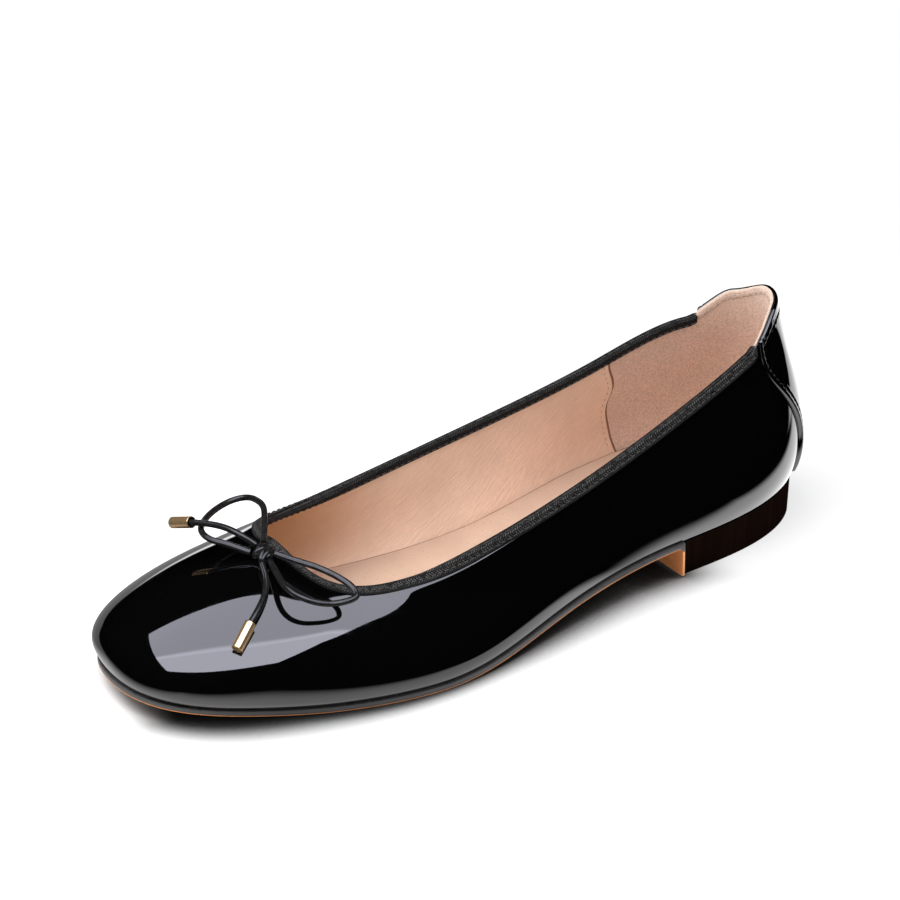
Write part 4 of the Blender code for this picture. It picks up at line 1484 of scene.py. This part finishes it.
def aglet_patch(start, tip):
    """Metal tip: a half section of radius against length, spun round the cord's end.

    The section goes down the open mouth that the cord enters, over its rim, along the barrel and
    round the eased end. The finish is 1 inside the mouth.
    """
    rim = np.radians(np.linspace(180, 0, 7))
    end = np.radians(np.linspace(0, 90, 6))
    mouth = AGLET_RADIUS - 0.3
    edge = np.stack([AGLET_RADIUS - 0.15 + 0.15 * np.cos(rim), 0.15 - 0.15 * np.sin(rim)], axis=1)
    eased = np.array([AGLET_RADIUS - 0.35, AGLET_LENGTH - 0.35])
    eased = eased + 0.35 * np.stack([np.cos(end), np.sin(end)], axis=1)
    barrel = np.stack([np.full(4, AGLET_RADIUS), np.linspace(0.8, AGLET_LENGTH - 0.9, 4)], axis=1)
    inside = [(0.0, 1.6), (mouth, 1.6), (mouth, 0.4)]
    profile = np.concatenate([inside, edge, barrel, eased, [(0.0, AGLET_LENGTH)]])
    direction = unit(tip - start)
    side = unit(np.cross(direction, VAMP_UP))
    over = np.cross(side, direction)
    angle = np.linspace(0, math.tau, 49)[None, :-1, None]
    radius, length = profile[:, 0, None, None] * MM, profile[:, 1, None, None] * MM
    points = start + direction * length + (over * np.cos(angle) + side * np.sin(angle)) * radius
    around = np.linspace(0, 10 * MM, 49)

    def finish(row, column):
        return np.where(row < len(inside), 1, 0)

    return Patch(points, profile[:, 1] * MM, around, capped=False, finish=finish)


def add_cord(name, diameter, run_on=0.0):
    """One free length of the bow: a loop ends at the knot, an end at its tip."""
    path = cord_path(name, run_on)
    patch = cord_patch(path, diameter)
    piece = make_piece(name + "_cord", [patch], [finish_of("cord")], [name], smooth_angle=60)
    line = path - FOOTPRINT_MIDDLE
    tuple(line[0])


class FLAT_OT_bow(Operator):
    """Adds the bow: knot, two loops, two ends and their metal tips."""

    bl_idname = "flat.bow"
    bl_label = "Bow"

    def execute(self, context):
        diameter = context.scene.flat_sizes.cord
        patches = knot_patches(diameter)
        make_piece("bow_knot_turns", patches, [finish_of("cord")], ["bow_knot"])
        for side, tip in AGLET_TIPS.items():
            add_cord(f"bow_loop_{side}", diameter)
            start = cord_path(f"bow_end_{side}")[-1]
            start = start + unit(np.array(tip) * MM - start) * CLEARANCE
            gold = make_piece(
                f"aglet_{side}_tip",
                [aglet_patch(start, np.array(tip) * MM)],
                [finish_of("gold"), finish_of("cord")],
                [f"aglet_{side}"],
                smooth_angle=35,
            )
            add_cord(f"bow_end_{side}", diameter, CORD_IN_TIP)
        return {"FINISHED"}


CAMERA_TARGET = np.array([122, 0, 20]) * MM  # on the last, before the two shifts below
CAMERA_SHIFT = (-3.155 * MM, 26.576 * MM)  # along the picture's right and up
SENSOR = 36.0
# The panel that the vamp mirrors, in metres on the last: middle, turn, and half length and half width
PANEL_MIDDLE = np.array([0.605, 0.426, 1.0])
PANEL_TURN = 2.392
PANEL_HALF = (1.055, 0.715)
PANEL_LONG = np.array([math.cos(PANEL_TURN), math.sin(PANEL_TURN), 0.0])
PANEL_WIDE = np.array([-math.sin(PANEL_TURN), math.cos(PANEL_TURN), 0.0])
PANEL_SEAM = (0.095, 0.115)  # bright seam across it: its place at the middle, and its slant
FLOOR_DROP = 0.1 * MM  # of the floor below the shoe, so that no two faces share a plane
CONTACT = 18 * MM  # reach of the shadow in the gap under the sole
WHITE = (1, 1, 1, 1)
# Lines on the floor: the direction that is past each, and a place on it, in millimetres on the last
FLOOR_LINES = {
    "behind": ((-1, 0), (62, 0)),
    "toe_tip": ((0.87, -0.5), (243, 0)),
    "notch_side": ((0.324, 0.946), (70, 50)),
    "notch_back": ((-0.66, 0.75), (90, 52)),
    "corner": ((-0.26, 0.966), (-28, 53)),
    "corner_front": ((1, 0), (-150, 0)),
    "corner_side": ((0, 1), (0, 40)),
    "outer_side": ((0.374, 0.927), (185, 41)),
    "far_side": ((0, 1), (0, 90)),
    "toe": ((1, 0), (245, 0)),
    "inner_side": ((0, -1), (0, -16)),
    "waist": ((1, 0), (50, 0)),
    "heel": ((1, 0), (20, 0)),
}


def add_camera(stage):
    """The camera at the photo's angle: its axes worked out from azimuth and elevation."""
    a, e = stage.azimuth, stage.elevation
    back = Vector((math.sin(a) * math.cos(e), math.cos(a) * math.cos(e), math.sin(e)))
    right = Vector((-math.cos(a), math.sin(a), 0))
    up = back.cross(right)
    target = Vector(CAMERA_TARGET - FOOTPRINT_MIDDLE) + right * CAMERA_SHIFT[0] + up * CAMERA_SHIFT[1]
    data = bpy.data.cameras.new("camera")
    data.sensor_width = SENSOR
    data.lens = stage.lens
    camera = bpy.data.objects.new("camera", data)
    turn = Matrix((right, up, back)).transposed().to_4x4()
    camera.matrix_world = Matrix.Translation(target + back * stage.distance) @ turn
    bpy.context.scene.collection.objects.link(camera)
    bpy.context.scene.camera = camera


def stage_piece(name, corners, material):
    """A flat stage object from its corners."""
    mesh = bpy.data.meshes.new(name)
    mesh.from_pydata(corners, [], [tuple(range(len(corners)))])
    mesh.materials.append(material)
    piece = bpy.data.objects.new(name, mesh)
    bpy.context.scene.collection.objects.link(piece)
    return piece


def floor_finish(rgb):
    """Pale floor with a painted shadow: its colour goes near black where ambient occlusion finds the
    sole close above, except behind the heel and past the toe tip. To the camera it glows white far off
    and mostly behind the heel, which paints out the shadow there.

    To glossy rays it is a glowing strip round the shoe instead, a painted reflection: brightest beside
    the heel, with a notch at the waist, dim past the inner side, and dimmed by the painted shadow.
    """
    finish = Finish("floor", roughness=0.9, specular_ior_level=0.0)
    nodes = finish.nodes
    x, y, _ = nodes.parts(finish.place)
    rays = nodes.add("ShaderNodeLightPath").outputs

    def past(line, low, high, new_low=0.0, new_high=1.0):
        """Smooth step of the distance past a line, in millimetres."""
        normal, through = (np.array(pair, float) for pair in FLOOR_LINES[line])
        reach = nodes.plus(nodes.times(x, normal[0]), nodes.times(y, normal[1]))
        start = float(normal @ (through * MM - FOOTPRINT_MIDDLE[:2]))
        return nodes.between(reach, start + low * MM, start + high * MM, new_low, new_high)

    def glow(strength):
        return nodes.add("ShaderNodeEmission", {"Color": WHITE, "Strength": strength}).outputs[0]

    def shader_mix(share, first, second):
        return nodes.add("ShaderNodeMixShader", {0: share, 1: first.outputs[0], 2: second})

    behind = past("behind", 0, 25)
    sky = nodes.add("ShaderNodeAmbientOcclusion", {"Distance": CONTACT}, samples=8).outputs["AO"]
    # Painted shadow: the colour goes near black where ambient occlusion is strong, but not behind the
    # heel or past the toe tip.
    outside_painted_shadow = nodes.most(nodes.between(sky, 0.38, 0.96), behind, past("toe_tip", -14, 6))
    tint = nodes.mix(outside_painted_shadow, (0.03, 0.03, 0.03, 1), (*rgb, 1))
    nodes.link(tint, finish.shader.inputs["Base Color"])
    away = nodes.add("ShaderNodeVectorMath", {0: finish.place}, operation="LENGTH").outputs["Value"]
    # Painted light: the camera sees a white glow far off, and mostly white behind the heel, over its
    # shadow.
    bleached = nodes.most(nodes.between(away, 0.17, 0.3), nodes.times(behind, 0.7))
    seen = shader_mix(nodes.times(bleached, rays["Is Camera Ray"]), finish.shader, glow(1.0))
    # Painted reflection: the glow that glossy rays see, bounded by these lines and dimmed by the
    # occlusion.
    dark = nodes.most(
        nodes.times(past("notch_side", -18, -2), past("notch_back", -10, 4)),
        nodes.times(
            past("corner", -12, 10), nodes.most(past("corner_front", 0, 40), past("corner_side", 0, 25))
        ),
        past("outer_side", 6, 32),
        past("far_side", -20, 20),
        past("toe", 2, 26),
        nodes.times(past("inner_side", 0, 40, 0.0, 0.75), past("waist", 0, 60)),
        nodes.between(away, 0.4, 0.7),
    )
    level = nodes.times(past("heel", 0, 110, 1.7, 1.0), nodes.minus(1.0, dark))
    level = nodes.times(level, nodes.between(sky, 0.25, 0.8, 0.4, 1.0))
    return finish.shown(shader_mix(rays["Is Glossy Ray"], seen, glow(level)))


def panel_finish(strength):
    """Glowing cloth, a little brighter past the slanting seam, and brightest on it."""
    finish = Finish("light_panel")
    nodes = finish.nodes
    start, slant = PANEL_SEAM
    across = PANEL_WIDE - slant * PANEL_LONG
    inputs = {0: finish.place, 1: across}
    reach = nodes.add("ShaderNodeVectorMath", inputs, operation="DOT_PRODUCT").outputs["Value"]
    past = nodes.minus(reach, (PANEL_MIDDLE - FOOTPRINT_MIDDLE) @ across + start)
    seam = nodes.between(nodes.math("ABSOLUTE", past), 0.01, 0.07, 0.45, 0.0)
    level = nodes.plus(nodes.between(past, -0.1, 0.1, 1.48, 1.0), seam)
    inputs = {"Color": (0.86, 0.87, 1.0, 1), "Strength": nodes.times(level, strength)}
    return finish.shown(nodes.add("ShaderNodeEmission", inputs))


def add_world():
    """White behind the shoe, dim to the gloss, soft white to everything else."""
    world = bpy.data.worlds.new("studio")
    world.use_nodes = True
    nodes = Nodes(world.node_tree)
    rays = nodes.add("ShaderNodeLightPath").outputs
    around = nodes.mix(rays["Is Glossy Ray"], (0.75, 0.755, 0.765, 1), (0.0005, 0.0005, 0.0006, 1))
    shown = nodes.mix(rays["Is Camera Ray"], around, WHITE)
    background = world.node_tree.nodes["Background"]
    world.node_tree.links.new(shown, background.inputs["Color"])
    bpy.context.scene.world = world


def add_light(name, place, target, size, power):
    """A square area light aimed at a target, in metres on the last. The gloss doesn't mirror it."""
    data = bpy.data.lights.new(name, "AREA")
    data.size = size
    data.energy = power
    light = bpy.data.objects.new(name, data)
    turn = (Vector(target) - Vector(place)).to_track_quat("-Z", "Y").to_matrix().to_4x4()
    light.matrix_world = Matrix.Translation(Vector(place) - Vector(FOOTPRINT_MIDDLE)) @ turn
    light.visible_glossy = False
    light.visible_camera = False
    bpy.context.scene.collection.objects.link(light)


class FLAT_OT_stage(Operator):
    """Adds the camera, the floor and the light."""

    bl_idname = "flat.stage"
    bl_label = "Stage"

    def execute(self, context):
        stage = context.scene.flat_stage
        add_camera(stage)
        around = np.array([(-1, -1, 0), (1, -1, 0), (1, 1, 0), (-1, 1, 0)])
        corners = around * stage.floor_half - [0, 0, FLOOR_DROP]
        stage_piece("floor", corners, floor_finish(stage.floor))
        long, wide = PANEL_LONG * PANEL_HALF[0], PANEL_WIDE * PANEL_HALF[1]
        corners = PANEL_MIDDLE - FOOTPRINT_MIDDLE + around[:, :1] * long + around[:, 1:2] * wide
        panel = stage_piece("panel", corners, panel_finish(stage.panel))
        panel.visible_camera = False
        panel.visible_diffuse = False
        panel.visible_shadow = False
        add_light("overhead", (0.4, -0.1, 0.85), (0.12, 0, 0), 0.9, stage.key)
        add_world()
        context.scene.view_settings.view_transform = "Standard"
        return {"FINISHED"}


class FLAT_PT_sidebar(Panel):
    """Sizes, colours and the pieces in the order they are made."""

    bl_idname = "FLAT_PT_sidebar"
    bl_label = "Ballet flat"
    bl_space_type = "VIEW_3D"
    bl_region_type = "UI"
    bl_category = "Ballet flat"

    def draw(self, context):
        for operator in OPERATORS:
            self.layout.operator(operator.bl_idname)
        for group in (context.scene.flat_sizes, context.scene.flat_colours, context.scene.flat_stage):
            box = self.layout.box()
            for name in group.__annotations__:
                box.prop(group, name)


OPERATORS = [
    FLAT_OT_stage,
    FLAT_OT_bow,
    FLAT_OT_upper,
    FLAT_OT_counter,
    FLAT_OT_lining,
    FLAT_OT_binding,
    FLAT_OT_sock,
    FLAT_OT_bottom,
]
GROUPS = {"flat_sizes": FlatSizes, "flat_colours": FlatColours, "flat_stage": FlatStage}


def register():
    for group in GROUPS.values():
        bpy.utils.register_class(group)
    for operator in OPERATORS:
        bpy.utils.register_class(operator)
    bpy.utils.register_class(FLAT_PT_sidebar)
    for name, group in GROUPS.items():
        setattr(bpy.types.Scene, name, PointerProperty(type=group))


def unregister():
    for name in GROUPS:
        delattr(bpy.types.Scene, name)
    bpy.utils.unregister_class(FLAT_PT_sidebar)
    for operator in reversed(OPERATORS):
        bpy.utils.unregister_class(operator)
    for group in reversed(GROUPS.values()):
        bpy.utils.unregister_class(group)


def main():
    register()
    mottle_group()
    pores_group()
    specks_group()
    bpy.ops.flat.stage()
    bpy.ops.flat.bow()
    bpy.ops.flat.upper()
    bpy.ops.flat.counter()
    bpy.ops.flat.lining()
    bpy.ops.flat.binding()
    bpy.ops.flat.sock()
    bpy.ops.flat.bottom()


if __name__ == "__main__":
    main()
